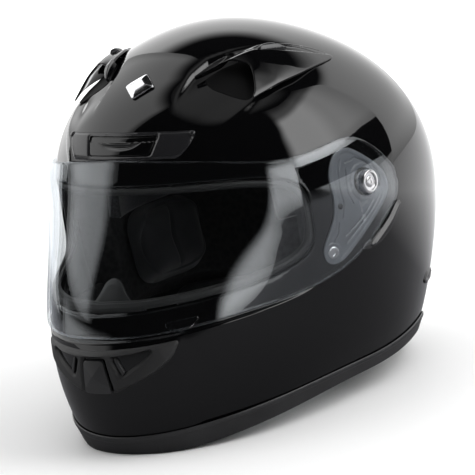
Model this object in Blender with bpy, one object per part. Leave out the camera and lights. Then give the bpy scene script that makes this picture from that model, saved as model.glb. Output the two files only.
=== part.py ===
"""Full-face motorcycle helmet, modelled as the separate pieces it is assembled from.

Frame: +X is the wearer's left, -Y the front, +Z up. z = 0 is the plane that the bottom
edge rests on, and the origin is below the middle of the helmet. The outer shell is one
smooth surface: a radius that depends on theta (0 at the front, 90 degrees on the
wearer's left) and phi (0 at the crown). Every other layer is that surface moved in or
out by an offset. Lengths are metres; MM turns millimetres into metres.
"""
import math

import bmesh
import bpy
import numpy as np
from mathutils import Matrix, Vector

MM = 0.001

# ---- driving dimensions -------------------------------------------------------------
CENTRE = np.array([0.0, 6.9, 123.5]) * MM          # where the shell's radii start

# radius along the midline, from the nape (negative phi) over the crown to the chin
MIDLINE_PHI = np.radians([-135, -115, -90, -60, -30, 0, 25, 50, 65, 80, 95, 108, 120, 132])
MIDLINE_RADIUS = np.array([172.5, 170.5, 166.5, 148.0, 140.0, 142.5, 141.5, 142.5,
                           140.0, 148.5, 167.0, 185.5, 198.5, 210.5]) * MM
# radius of the sides, at theta = 90 degrees
SIDE_PHI = np.radians([30, 60, 90, 110, 132])
SIDE_RADIUS = np.array([142.0, 137.5, 127.0, 128.5, 142.5]) * MM
# how far the plan view is fuller (minus) or leaner (plus) than an ellipse
FULLNESS_PHI = np.radians([50, 90, 125])
FULLNESS_FRONT = np.array([-0.025, 0.040, -0.007])
FULLNESS_REAR = np.array([-0.063, 0.011, 0.077])
# phi of the bottom rim at theta = 0, 45, 90, 135 and 180 degrees
RIM_PHI = np.array([126.9, 131.4, 135.6, 132.1, 135.7])

SHELL_THICKNESS = 4.0 * MM
LINER_THICKNESS = 27.0 * MM
LAYER_GAP = 1.0 * MM
FIT_GAP = 0.5 * MM
RECESS_DEPTH = 2.6 * MM            # shallow seat in the shell that the shield drops into
SWING_RELIEF = 1.6 * MM            # the shell is drawn in above the pods, for the swing
BROW_RELIEF = 1.2 * MM             # and above the shield, for the same reason
BROW_STAND = 2.0 * MM              # how far the shield's top edge stands further out

PORT_HALF_WIDTH = math.radians(62.5)
PORT_PHI = math.radians(82.5)
PORT_HALF_HEIGHT = math.radians(16.0)

PIVOT_Y = -16.3 * MM + CENTRE[1]
PIVOT_Z = 153.4 * MM
PIVOT_X = 127.0 * MM
SHIELD_THICKNESS = 2.2 * MM
SHIELD_HOLE_RADIUS = 9.0 * MM
PIVOT_CAP_RADIUS = 8.3 * MM

TRIM_HEIGHT = math.radians(3.9)
TRIM_LIP = 1.2 * MM

STRAP_WIDTH = 22.0 * MM
STRAP_THICKNESS = 1.8 * MM
STRAP_ANCHOR_X = 103.0 * MM
STRAP_ANCHOR_Z = 47.0 * MM
STRAP_LOW_Z = 8.0 * MM
STRAP_Y = CENTRE[1] - 6.0 * MM

# edges of the shield from the midline back to the pod, as (theta, phi) in degrees
SHIELD_TOP = np.array([(0, 59.7), (22, 60.9), (41, 63.1), (55, 65.1), (69, 64.2),
                       (81, 64.0), (90, 69.5), (96.0, 76.0)])
SHIELD_BOTTOM = np.array([(0, 102.4), (23, 103.1), (43, 103.3), (62.9, 101.4),
                          (77.9, 96.2), (88, 89.5), (94.5, 85.0), (96.6, 81.0)])


# ---- curves and the shell surface ---------------------------------------------------
def natural_spline(knots, values):
    """Return the natural cubic spline through the knots as a function of arrays."""
    knots, values = np.asarray(knots, float), np.asarray(values, float)
    step = np.diff(knots)
    count = len(knots)
    system, right = np.eye(count), np.zeros(count)
    for i in range(1, count - 1):
        system[i, i - 1:i + 2] = step[i - 1], 2 * (step[i - 1] + step[i]), step[i]
        slopes = np.diff(values)[i - 1:i + 1] / step[i - 1:i + 1]
        right[i] = 6 * (slopes[1] - slopes[0])
    bend = np.linalg.solve(system, right)

    def curve(x):
        x = np.asarray(x, float)
        k = np.clip(np.searchsorted(knots, x) - 1, 0, count - 2)
        near, far, h = x - knots[k], knots[k + 1] - x, step[k]
        cubic = (bend[k] * far**3 + bend[k + 1] * near**3) / (6 * h)
        start = (values[k] / h - bend[k] * h / 6) * far
        return cubic + start + (values[k + 1] / h - bend[k + 1] * h / 6) * near

    return curve


midline = natural_spline(MIDLINE_PHI, MIDLINE_RADIUS)
side = natural_spline(np.concatenate([-SIDE_PHI[1::-1], [0], SIDE_PHI]),
                      np.concatenate([SIDE_RADIUS[1::-1], MIDLINE_RADIUS[5:6], SIDE_RADIUS]))
fullness_front = natural_spline(FULLNESS_PHI, FULLNESS_FRONT)
fullness_rear = natural_spline(FULLNESS_PHI, FULLNESS_REAR)
rim_curve = natural_spline(np.arange(-90, 271, 45),
                           RIM_PHI[[2, 1, 0, 1, 2, 3, 4, 3, 2]])
CROWN_SLOPE = float(midline(1e-4) - midline(-1e-4)) / 2e-4
CROWN_WINDOW = 0.9                 # radians over which the crown's slope dies away


def smooth_step(x):
    x = np.clip(x, 0, 1)
    return x * x * (3 - 2 * x)


def radius(theta, phi):
    """Shell radius: a rounded ellipse between the midline and the side radii."""
    tilt = CROWN_SLOPE * np.sin(phi) * np.exp(-(phi / CROWN_WINDOW)**2)
    front, rear = midline(phi) - tilt, midline(-phi) + tilt
    c, s = np.cos(theta), np.sin(theta)
    mix = smooth_step((c + 1) / 2)
    length = mix * front + (1 - mix) * rear
    plain = ((c / length)**2 + (s / side(phi))**2)**-0.5
    lean = (mix * fullness_front(phi) + (1 - mix) * fullness_rear(phi)) * np.sin(phi)**4
    return plain * (1 - lean * np.sin(2 * theta)**2) + tilt * c


def direction(theta, phi):
    return np.stack([np.sin(phi) * np.sin(theta), -np.sin(phi) * np.cos(theta),
                     np.cos(phi) + 0 * theta], -1)


def on_shell(theta, phi, offset=0.0):
    """Point of the smooth surface at theta, phi, moved out by the offset."""
    theta, phi = np.broadcast_arrays(np.asarray(theta, float), np.asarray(phi, float))
    reach = radius(theta, phi) + offset
    return CENTRE + direction(theta, phi) * reach[..., None]


def rim_phi(theta):
    turn = np.abs((np.asarray(theta) + np.pi) % (2 * np.pi) - np.pi)
    return np.radians(rim_curve(np.degrees(turn)))


def local_map(anchor):
    """Return at(a, b, offset): a runs towards the wearer's left and rear, b runs up."""
    out = np.asarray(anchor, float) - CENTRE
    out /= np.linalg.norm(out)
    up = np.array([0.0, 0.0, 1.0]) - out[2] * out
    up /= np.linalg.norm(up)
    across = np.cross(up, out)
    reach = float(radius(math.atan2(out[0], -out[1]), math.acos(out[2])))

    def at(a, b, offset):
        a, b = np.broadcast_arrays(np.asarray(a, float), np.asarray(b, float))
        ray = out * reach + a[..., None] * across + b[..., None] * up
        ray /= np.linalg.norm(ray, axis=-1, keepdims=True)
        theta = np.arctan2(ray[..., 0], -ray[..., 1])
        return on_shell(theta, np.arccos(ray[..., 2]), offset)

    return at


def closed_curve(points, count):
    """Catmull-Rom curve through a closed ring of points."""
    points = np.asarray(points, float)
    s = np.arange(count) * len(points) / count
    k = s.astype(int)
    t = (s - k)[:, None]
    p = [points[(k + j) % len(points)] for j in (-1, 0, 1, 2)]
    return 0.5 * (2 * p[1] + (p[2] - p[0]) * t + (2 * p[0] - 5 * p[1] + 4 * p[2] - p[3]) * t**2
                  + (3 * p[1] - p[0] - 3 * p[2] + p[3]) * t**3)


def open_curve(points, s):
    """Natural spline through a list of points, read at s from 0 to 1."""
    points = np.asarray(points, float)
    knots = np.linspace(0, 1, len(points))
    return np.stack([natural_spline(knots, points[:, i])(s)
                     for i in range(points.shape[1])], -1)


# ---- materials and mesh helpers -----------------------------------------------------
def material(name, colour, roughness, metallic=0.0, alpha=1.0):
    mat = bpy.data.materials.new(name)
    mat.use_nodes = True
    shader = mat.node_tree.nodes["Principled BSDF"]
    shader.inputs["Base Color"].default_value = (*colour, 1)
    shader.inputs["Roughness"].default_value = roughness
    shader.inputs["Metallic"].default_value = metallic
    shader.inputs["Alpha"].default_value = alpha
    return mat


def finish_object(name, mesh, mat, parent=None):
    mesh.materials.append(mat)
    obj = bpy.data.objects.new(name, mesh)
    bpy.context.scene.collection.objects.link(obj)
    mesh.shade_smooth()
    mesh.set_sharp_from_angle(angle=math.radians(35))
    if parent:
        obj.parent = parent
        obj.matrix_parent_inverse = parent.matrix_world.inverted()
    return obj


def pivot(name, place):
    """Empty on a joint's axis; the pieces that move with the joint are its children."""
    empty = bpy.data.objects.new(name, None)
    empty.location = place
    empty.empty_display_size = 0.02
    bpy.context.scene.collection.objects.link(empty)
    bpy.context.view_layer.update()
    return empty


def mesh_from(points, faces):
    """Mesh with its faces turned outwards."""
    bm = bmesh.new()
    verts = [bm.verts.new(p) for p in points]
    for face in faces:
        bm.faces.new([verts[i] for i in face])
    bmesh.ops.recalc_face_normals(bm, faces=bm.faces)
    mesh = bpy.data.meshes.new("mesh")
    bm.to_mesh(mesh)
    bm.free()
    return mesh


def slab(name, inner, outer, mat, ring=False, pole=False, parent=None):
    """Closed plate between two point grids [u, v]; ring closes u, pole closes v = 0."""
    u_count, v_count = inner.shape[:2]
    first = 1 if pole else 0
    rows = v_count - first
    points, layers = [], []
    for sheet in (inner, outer):
        base = len(points)
        points.extend(sheet[:, first:].reshape(-1, 3))
        tip = len(points)
        if pole:
            points.append(sheet[:, 0].mean(0))
        layers.append((base, tip))
    columns = u_count if ring else u_count - 1

    def index(layer, u, v):
        return layers[layer][0] + (u % u_count) * rows + v

    faces = []
    for u in range(columns):
        for v in range(rows - 1):
            for layer in (0, 1):
                corners = [(u, v), (u + 1, v), (u + 1, v + 1), (u, v + 1)]
                faces.append([index(layer, *c) for c in corners[::1 if layer else -1]])
        if pole:
            faces.append([layers[0][1], index(0, u, 0), index(0, u + 1, 0)])
            faces.append([layers[1][1], index(1, u + 1, 0), index(1, u, 0)])
        for v in ([rows - 1] if pole else [0, rows - 1]):
            faces.append([index(0, u, v), index(0, u + 1, v),
                          index(1, u + 1, v), index(1, u, v)])
    if not ring:
        for u in (0, u_count - 1):
            for v in range(rows - 1):
                faces.append([index(0, u, v), index(0, u, v + 1),
                              index(1, u, v + 1), index(1, u, v)])
    return finish_object(name, mesh_from(points, faces), mat, parent)


def swept_ring(name, sections, mat, ring=True, parent=None):
    """Solid whose section [s, k] is carried round; open sweeps get flat end caps."""
    count, size = sections.shape[:2]
    faces = []
    for s in range(count if ring else count - 1):
        for k in range(size):
            t, m = (s + 1) % count, (k + 1) % size
            faces.append([s * size + k, t * size + k, t * size + m, s * size + m])
    if not ring:
        faces.append(list(range(size)))
        faces.append([(count - 1) * size + k for k in reversed(range(size))])
    return finish_object(name, mesh_from(sections.reshape(-1, 3), faces), mat, parent)


def polar_grid(outline, centre, rings):
    """Grid [u, v] of plane coordinates from the centre (v = 0) to the outline."""
    v = np.linspace(0, 1, rings + 1)[None, :, None]
    return centre + (outline[:, None, :] - centre) * v


def patch(name, at, outline, low, high, mat, rings=2, parent=None, centre=None):
    """Plate over an outline of a local map; it is domed when high falls to the rim."""
    centre = outline.mean(0) if centre is None else np.asarray(centre)
    grid = polar_grid(outline, centre, rings)
    rise = np.linspace(0, 1, rings + 1)[None, :]
    tall = high(rise) if callable(high) else high + 0 * rise
    tall = np.broadcast_to(tall, grid.shape[:2])
    inner = at(grid[..., 0], grid[..., 1], low)
    outer = at(grid[..., 0], grid[..., 1], tall)
    return slab(name, inner, outer, mat, ring=True, pole=True, parent=parent)


def strip(name, at, edge_a, edge_b, low, high, mat, along=12, across=4, parent=None):
    """Plate between two edge curves of a local map; low and high may vary with (s, t)."""
    s, t = np.linspace(0, 1, along)[:, None], np.linspace(0, 1, across)[None, :]
    first, second = open_curve(edge_a, s[:, 0]), open_curve(edge_b, s[:, 0])
    grid = first[:, None] + (second - first)[:, None] * t[..., None]
    bottom = low(s, t) if callable(low) else low
    top = high(s, t) if callable(high) else high
    return slab(name, at(grid[..., 0], grid[..., 1], bottom),
                at(grid[..., 0], grid[..., 1], top), mat, parent=parent)


def disc(name, centre, axis, radius_m, length, mat, sides=24, chamfer=0.0, parent=None):
    """Short cylinder whose axis passes through its centre."""
    bm = bmesh.new()
    turn = Vector(axis).to_track_quat("Z", "Y").to_matrix().to_4x4()
    place = Matrix.Translation(Vector(centre)) @ turn
    bmesh.ops.create_cone(bm, cap_ends=True, segments=sides, radius1=radius_m,
                          radius2=radius_m, depth=length, matrix=place)
    if chamfer:
        caps = [f for f in bm.faces if len(f.verts) == sides]
        rims = [e for f in caps for e in f.edges]
        bmesh.ops.bevel(bm, geom=rims, offset=chamfer, segments=1, affect="EDGES")
    mesh = bpy.data.meshes.new(name)
    bm.to_mesh(mesh)
    bm.free()
    return finish_object(name, mesh, mat, parent)


def cut(obj, cutter):
    """Subtract a guide solid, which stays in the scene as a wire cutter."""
    cutter.hide_render = True
    cutter.display_type = "WIRE"
    step = obj.modifiers.new("cut", "BOOLEAN")
    step.operation = "DIFFERENCE"
    step.solver = "EXACT"
    step.object = cutter


def mirrored(obj, name, parent=None):
    """Copy on the wearer's other side, modifiers and their cutters included."""
    mesh = obj.data.copy()
    mesh.transform(Matrix.Scale(-1, 4, (1, 0, 0)))
    mesh.flip_normals()
    twin = finish_object(name, mesh, mesh.materials[0], parent)
    twin.data.materials.pop()
    for step in obj.modifiers:
        other = bpy.data.objects.get(step.object.name + "_twin")
        cut(twin, other or mirrored(step.object, step.object.name + "_twin"))
    return twin


# ---- pieces of the fixed shell ------------------------------------------------------
def shield_line(edge, theta):
    """Phi of a shield edge carried on round the shell, as a function of theta."""
    knots = np.concatenate([edge[:5, 0], [110, 180]])
    values = np.concatenate([edge[:5, 1], [edge[4, 1], edge[4, 1]]])
    both = np.concatenate([-knots[:0:-1], knots])
    curve = natural_spline(both, np.concatenate([values[:0:-1], values]))
    return np.radians(curve(np.degrees(theta)))


def shell_offset(theta, inside):
    """Depth of the shield's seat, which fades out towards the pods."""
    fade = 1 - smooth_step((np.abs(np.degrees(theta)) - 38) / 27)
    return -RECESS_DEPTH * fade * inside


def swing_relief(theta, phi):
    """Broad shallow hollow above each pod that the shield's arm swings over."""
    along = (np.abs(np.degrees(theta)) - 90) / 14
    down = (np.degrees(phi) - 66) / 11
    return -SWING_RELIEF * np.exp(-along**2 - down**2)


def brow_relief(theta, phi):
    """Shallow hollow over the brow, above the shield, that its top edge swings over."""
    down = smooth_step((np.degrees(phi) - 22) / 12)
    return -BROW_RELIEF * down * (1 - smooth_step((np.abs(np.degrees(theta)) - 44) / 24))


def build_outer_shell(mat):
    theta = np.radians(np.arange(-180, 180, 7.5))
    top = shield_line(SHIELD_TOP, theta) - math.radians(0.8)
    bottom = shield_line(SHIELD_BOTTOM, theta) + math.radians(1.4)
    rim = rim_phi(theta) - math.radians(1.5)
    step = math.radians(0.5)
    phis, seats = [], []
    for share in np.linspace(0, 1, 9):
        phis.append(top * share)
        seats.append(0.0)
    for share in np.linspace(0, 1, 5):
        phis.append((top + step) + (bottom - top - 2 * step) * share)
        seats.append(1.0)
    for share in np.linspace(0, 1, 5):
        phis.append(bottom + (rim - bottom) * share)
        seats.append(0.0)
    phi = np.stack(phis, 1)
    theta = theta[:, None] + 0 * phi
    seats = np.array(seats)[None, :]
    above = phi < top[:, None] + 0.5 * step
    offset = shell_offset(theta, seats) + swing_relief(theta, phi)
    offset += brow_relief(theta, phi) * above
    shell = slab("outer_shell", on_shell(theta, phi, offset - SHELL_THICKNESS),
                 on_shell(theta, phi, offset), mat, ring=True, pole=True)
    cut(shell, port_cutter("eye_port_cutter", 0.0))
    return shell


def port_outline(count, margin):
    """Rounded rectangle of the eye port in (theta, phi), grown by a margin in radians."""
    turn = np.arange(count) * 2 * np.pi / count
    c, s = np.cos(turn), np.sin(turn)
    theta = (PORT_HALF_WIDTH + margin) * np.sign(c) * np.sqrt(np.abs(c))
    phi = PORT_PHI - (PORT_HALF_HEIGHT + margin) * np.sign(s) * np.sqrt(np.abs(s))
    return np.stack([theta, phi], -1)


def port_cutter(name, margin):
    grid = polar_grid(port_outline(56, margin), np.array([0.0, PORT_PHI]), 5)
    inner = on_shell(grid[..., 0], grid[..., 1], -16 * MM)
    outer = on_shell(grid[..., 0], grid[..., 1], 12 * MM)
    return slab(name, inner, outer, guide, ring=True, pole=True)


def build_port_gasket(mat):
    """Rubber ring that lines the edge of the eye port."""
    outer, inner = port_outline(56, -0.012), port_outline(56, -0.040)
    corners = [(outer, -9.0), (inner, -9.0), (inner, -4.0), (outer, -3.2)]
    ring = np.stack([on_shell(edge[:, 0], edge[:, 1], depth * MM)
                     for edge, depth in corners], 1)
    return swept_ring("eye_port_gasket", ring, mat)


def build_edge_trim(mat):
    """Rubber channel over the bottom rim, ground flat where the helmet rests."""
    theta = np.radians(np.arange(-180, 180, 7.5))
    rim = rim_phi(theta)
    wall, low = rim - TRIM_HEIGHT, rim + math.radians(0.6)
    seat = rim - math.radians(1.0)
    inside = -SHELL_THICKNESS - 3 * FIT_GAP
    foot = rim + math.radians(1.7)
    section = [(wall, TRIM_LIP + FIT_GAP), (low, TRIM_LIP + FIT_GAP),
               (foot, inside - 2 * MM), (wall, inside - 2 * MM),
               (wall, inside), (seat, inside), (seat, FIT_GAP), (wall, FIT_GAP)]
    points = np.stack([on_shell(theta, phi, offset) for phi, offset in section], 1)
    points[..., 2] = np.maximum(points[..., 2], 0.0)
    return swept_ring("bottom_edge_trim", points, mat)


def cap_layer(name, edge_deg, low, high, mat, columns, rows):
    """Bowl between two offsets, from the crown down to a line of constant phi."""
    theta = np.linspace(-np.pi, np.pi, columns, endpoint=False)[:, None]
    phi = np.radians(np.linspace(0, edge_deg, rows))[None, :] + 0 * theta
    theta = theta + 0 * phi
    return slab(name, on_shell(theta, phi, low), on_shell(theta, phi, high), mat,
                ring=True, pole=True)


def sector(name, theta_deg, phi_deg, low, high, mat, along=8, down=4):
    """Curved block between two theta, two phi and two offset limits."""
    theta = np.radians(np.linspace(*theta_deg, along))[:, None]
    phi = np.radians(np.linspace(*phi_deg, down))[None, :] + 0 * theta
    theta = theta + 0 * phi
    return slab(name, on_shell(theta, phi, low), on_shell(theta, phi, high), mat)


def build_liners(foam, cloth):
    liner_out = -SHELL_THICKNESS - RECESS_DEPTH - SWING_RELIEF / 2 - LAYER_GAP
    liner_in = liner_out - LINER_THICKNESS
    pad_out = liner_in - 2 * LAYER_GAP
    liner = cap_layer("eps_liner", 120, liner_in, liner_out, foam, 36, 12)
    cut(liner, sector("brow_cutter", (-65, 65), (61, 126), -70 * MM, -2 * MM, guide, 14, 7))
    pad = cap_layer("crown_pad", 82, pad_out - 9 * MM, pad_out, cloth, 36, 9)
    cut(pad, sector("brow_pad_cutter", (-57, 57), (55, 90), -90 * MM, -20 * MM, guide, 12, 5))
    sector("chin_eps", (-58, 58), (107, 121), -26 * MM, liner_out, foam, 11, 3)
    for name, sign in (("left", 1), ("right", -1)):
        sector(name + "_cheek_pad", (sign * 72, sign * 118), (86, 119),
               pad_out - 21 * MM, pad_out, cloth, 7, 5)
    sector("neck_roll", (104, 256), (122, 131), -30 * MM, -8 * MM, cloth, 15, 3)
    sector("chin_curtain", (-56, 56), (123.0, 124.6), -44 * MM, -10 * MM, cloth, 11, 2)


def build_breath_deflector(mat):
    """Nose guard that stands up inside the chin, narrow at the top."""
    s = np.linspace(0, 1, 7)[:, None]
    phi = np.radians(92.0 + 11.5 * s)
    half = np.radians(2.0 + 15.0 * s**1.5)
    theta = half * np.linspace(-1, 1, 9)[None, :]
    phi = phi + 0 * theta
    slab("breath_deflector", on_shell(theta, phi, -21.5 * MM),
         on_shell(theta, phi, -19.5 * MM), mat)


# ---- vents --------------------------------------------------------------------------
def ring_of(points, count):
    return closed_curve(points, count) * MM


def build_forehead_vent(housing_mat, shutter_mat, shutter_pivot):
    at = local_map(on_shell(0, math.radians(54.8)))
    edge_left = np.array([(-62.0, 16.0), (-50.0, -6.6)]) * MM
    edge_right = edge_left * [-1, 1]

    def bowed(edge, depth):
        """Edge points between two corners, lowered towards the middle."""
        (x0, y0), (x1, y1) = edge
        x = np.linspace(x0, x1, 7)
        droop = 1 - (2 * (x - x0) / (x1 - x0) - 1)**2
        return np.stack([x, np.linspace(y0, y1, 7) - depth * droop], -1)

    upper = bowed([edge_left[0], edge_right[0]], 6.5 * MM)
    lower = bowed([edge_left[1], edge_right[1]], 4.6 * MM)
    housing = strip("forehead_vent_housing", at, upper, lower, -0.8 * MM, 0.5 * MM,
                    housing_mat, along=17, across=4)
    window = [(-31, 8.2), (0, 6.0), (31, 8.2), (26.5, -8.6), (0, -9.8), (-26.5, -8.6)]
    corners = np.array(window) * MM
    top_edge, low_edge = corners[:3], corners[[5, 4, 3]]
    cut(housing, strip("forehead_window_cutter", at, top_edge, low_edge, -3 * MM,
                       9 * MM, guide, along=9, across=3))
    top_in = top_edge * [0.94, 1] - [0, 4.4 * MM]
    low_in = low_edge * [0.98, 1] + [0, 0.6 * MM]
    strip("forehead_vent_shutter", at, top_in, low_in, -0.7 * MM, 0.4 * MM, shutter_mat,
          along=9, across=3, parent=shutter_pivot)


TOP_VENT = np.array([68.0, -15.0 + CENTRE[1] / MM, 246.0]) * MM


def build_top_vents(cover_mat, slider_mat, slider_pivots):
    """Scoop on each side of the crown, open at the front, with a slider on top."""
    at = local_map(TOP_VENT)
    inner_edge = np.array([(-66, 11), (-44, 12), (-22, 12), (-2, 9), (20, 0),
                           (41, -16.5)]) * MM
    outer_edge = np.array([(-47, -33), (-31, -32), (-13, -30.5), (5, -28), (24, -24),
                           (41, -20.5)]) * MM

    def crown(s, t):
        """Height of the scoop: full at the mouth, running out to the tail."""
        return (1.4 + 4.4 * (1 - s)**0.9 * (4 * t * (1 - t))**0.5) * MM

    left = strip("left_top_vent_cover", at, inner_edge, outer_edge, 0.9 * MM,
                 lambda s, t: crown(s, t) + 0.9 * MM, cover_mat, along=11, across=6)
    mouth = ring_of([(-84, 7.5), (-62, 8), (-46, 6.5), (-34, -5), (-32, -12), (-37, -23),
                     (-43, -30.5), (-52, -41), (-84, -41)], 24)
    cut(left, patch("left_mouth_cutter", at, mouth, 0.3 * MM, 12 * MM, guide,
                    centre=np.array([-58.0, -14.0]) * MM))
    mirrored(left, "right_top_vent_cover")
    slider = ring_of([(-7, 0), (-4, 3.2), (2, 3.4), (12, 0.6), (13, 0), (12, -0.6),
                      (2, -3.4), (-4, -3.2)], 16)
    slider = slider + np.array([-8.0, -3.0]) * MM
    knob = patch("left_top_vent_slider", at, slider, 6.3 * MM,
                 lambda v: (8.7 - 1.2 * v**2) * MM, slider_mat,
                 parent=slider_pivots["left"])
    mirrored(knob, "right_top_vent_slider", slider_pivots["right"])


def build_chin_vent(housing_mat, button_mat, button_pivot):
    at = local_map(on_shell(0, math.radians(109.0)))
    upper = np.array([(-70, 10.5), (-46, 12), (-23, 12.8), (0, 13),
                      (23, 12.8), (46, 12), (70, 10.5)]) * MM
    lower = np.array([(-67, 3), (-52, -5), (-27, -12), (0, -16.5),
                      (27, -12), (52, -5), (67, 3)]) * MM
    housing = strip("chin_vent_housing", at, upper, lower, 0.8 * MM, 2.8 * MM,
                    housing_mat, along=17, across=4)
    slot_a = np.array([(-8.6, 8.0), (0, 8.0), (8.6, 8.0)]) * MM
    slot_b = np.array([(-12.2, -25.0), (0, -25.0), (12.2, -25.0)]) * MM
    cut(housing, strip("chin_slot_cutter", at, slot_a, slot_b, 0.2 * MM, 9 * MM, guide,
                       along=5, across=3))
    for sign, side_name in ((1, "left"), (-1, "right")):
        inlet_a = np.array([(16, 7.6), (28, 8.2), (42, 9.4)]) * [sign, 1] * MM
        inlet_b = np.array([(19, -1.5), (24, 1.0), (41, 7.6)]) * [sign, 1] * MM
        cut(housing, strip(side_name + "_inlet_cutter", at, inlet_a, inlet_b, 0.2 * MM,
                           9 * MM, guide, along=4, across=3))
    face_a = np.array([(-7.8, 7.2), (0, 7.2), (7.8, 7.2)]) * MM
    face_b = np.array([(-10.6, -13.5), (0, -13.5), (10.6, -13.5)]) * MM

    def pyramid(s, t):
        """Push face raised in the middle like a shallow pyramid."""
        return (2.6 + 2.2 * np.minimum(1 - np.abs(2 * s - 1), 1 - np.abs(2 * t - 1))) * MM

    strip("chin_vent_button", at, face_a, face_b, 1.2 * MM, pyramid, button_mat,
          along=5, across=5, parent=button_pivot)


def build_rear_vents(mat):
    """Exhaust spoiler at the back of the crown and a small outlet on each flank."""
    at = local_map(on_shell(math.pi, math.radians(62)))
    upper = np.array([(-44, 5), (-22, 12), (0, 14), (22, 12), (44, 5)]) * MM
    lower = np.array([(-46, -6), (-23, -9), (0, -10), (23, -9), (46, -6)]) * MM
    rear = strip("rear_exhaust_cover", at, upper, lower, 0.8 * MM,
                 lambda s, t: (1.6 + 3.6 * np.sin(np.pi * s)**0.5 * t) * MM, mat,
                 along=13, across=4)
    for sign, side_name in ((1, "left"), (-1, "right")):
        slot = ring_of([(sign * 10, -1), (sign * 22, 2.5), (sign * 34, -0.5),
                        (sign * 32, -5), (sign * 20, -3.5), (sign * 11, -5.5)], 12)
        cut(rear, patch(side_name + "_exhaust_cutter", at, slot, 0.2 * MM, 12 * MM, guide))
    at = local_map(on_shell(math.radians(131), math.radians(117.5)))
    outlet = ring_of([(-17, -2), (-8, 3.5), (10, 4.5), (18, 2), (9, -4), (-9, -5)], 16)
    left = patch("left_rear_outlet", at, outlet, 0.8 * MM, lambda v: (2.8 - v**2) * MM, mat)
    slit = ring_of([(-11, -1), (0, 1.4), (12, 2), (0, -1.6)], 12)
    cut(left, patch("outlet_slit_cutter", at, slit, 0.2 * MM, 9 * MM, guide))
    mirrored(left, "right_rear_outlet")


def build_front_badge(mat):
    """Plain lozenge badge on the brow."""
    at = local_map(on_shell(0, math.radians(36)))
    lozenge = ring_of([(-13, 0), (-6, 6.5), (0, 12), (6, 6.5), (13, 0), (6, -6.5),
                       (0, -12), (-6, -6.5)], 24)
    patch("front_badge", at, lozenge, 0.4 * MM, lambda v: (1.9 - 0.9 * v**2) * MM, mat)


# ---- shield and its mechanism -------------------------------------------------------
def shield_offset(theta, down):
    """Outer face of the shield: near flush low in front, proud over the pods and, so
    that it clears the brow vent, at its top edge (down = 0, and 1 at its low edge)."""
    turn = np.abs(np.degrees(theta))
    brow = (1 - smooth_step(down / 0.55)) * (1 - smooth_step((turn - 42) / 26))
    return (1.0 + 4.0 * smooth_step((turn - 30) / 38)) * MM + BROW_STAND * brow


def build_shield(mat, shield_pivot):
    s = np.linspace(-1, 1, 33)
    top = np.radians(open_curve(SHIELD_TOP, np.abs(s)))
    bottom = np.radians(open_curve(SHIELD_BOTTOM, np.abs(s)))
    mirror = np.where(s < 0, -1, 1)
    t = np.linspace(0, 1, 9)
    theta = (top[:, :1] + (bottom - top)[:, :1] * t) * mirror[:, None]
    phi = top[:, 1:] + (bottom - top)[:, 1:] * t
    proud = shield_offset(theta, t[None, :])
    shield = slab("face_shield", on_shell(theta, phi, proud - SHIELD_THICKNESS),
                  on_shell(theta, phi, proud), mat, parent=shield_pivot)
    for sign, name in ((1, "left"), (-1, "right")):
        hole = disc(name + "_pivot_hole_cutter", (sign * PIVOT_X, PIVOT_Y, PIVOT_Z),
                    (1, 0, 0), SHIELD_HOLE_RADIUS, 30 * MM, guide, sides=28)
        cut(shield, hole)
    return shield


def build_lift_tab(mat, shield_pivot):
    """Finger tab standing off the lower edge of the shield on the wearer's left."""
    theta = np.radians(np.linspace(18.5, 25.5, 7))[:, None]
    down = np.linspace(0, 1, 3)[None, :]
    phi = np.radians(101.0 + 1.8 * down) + 0 * theta
    swell = np.sin(np.pi * np.linspace(0, 1, 7))[:, None]
    low = shield_offset(theta, 1.0) + 0.4 * MM + 0 * phi
    high = low + (0.8 + 3.2 * swell * down) * MM
    theta = theta + 0 * phi
    slab("shield_lift_tab", on_shell(theta, phi, low), on_shell(theta, phi, high), mat,
         parent=shield_pivot)


def hugging(at):
    """The same map with offsets counted from the surface that the swing relief leaves."""
    def on(a, b, offset):
        ray = at(a, b, 0.0) - CENTRE
        theta = np.arctan2(ray[..., 0], -ray[..., 1])
        phi = np.arccos(ray[..., 2] / np.linalg.norm(ray, axis=-1))
        return at(a, b, offset + swing_relief(theta, phi))

    return on


POD = np.array([PIVOT_X, PIVOT_Y, PIVOT_Z])
PLATE_OUTLINE = [(-29, 10), (-20, 24), (-8, 25), (5, 18.5), (16, 10.5), (24, 0),
                 (24.5, -9), (18, -17), (4, -29), (-12, -40), (-27, -49.5), (-38, -51),
                 (-45, -48), (-46, -41), (-40, -30), (-32, -17), (-29.5, -4)]
SCREW_PLACE = np.array([-37.5, -42.5]) * MM
LEVER_TRAVEL_ANCHOR = np.array([124.5, -17.0 + CENTRE[1] / MM, 106.5]) * MM


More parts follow.
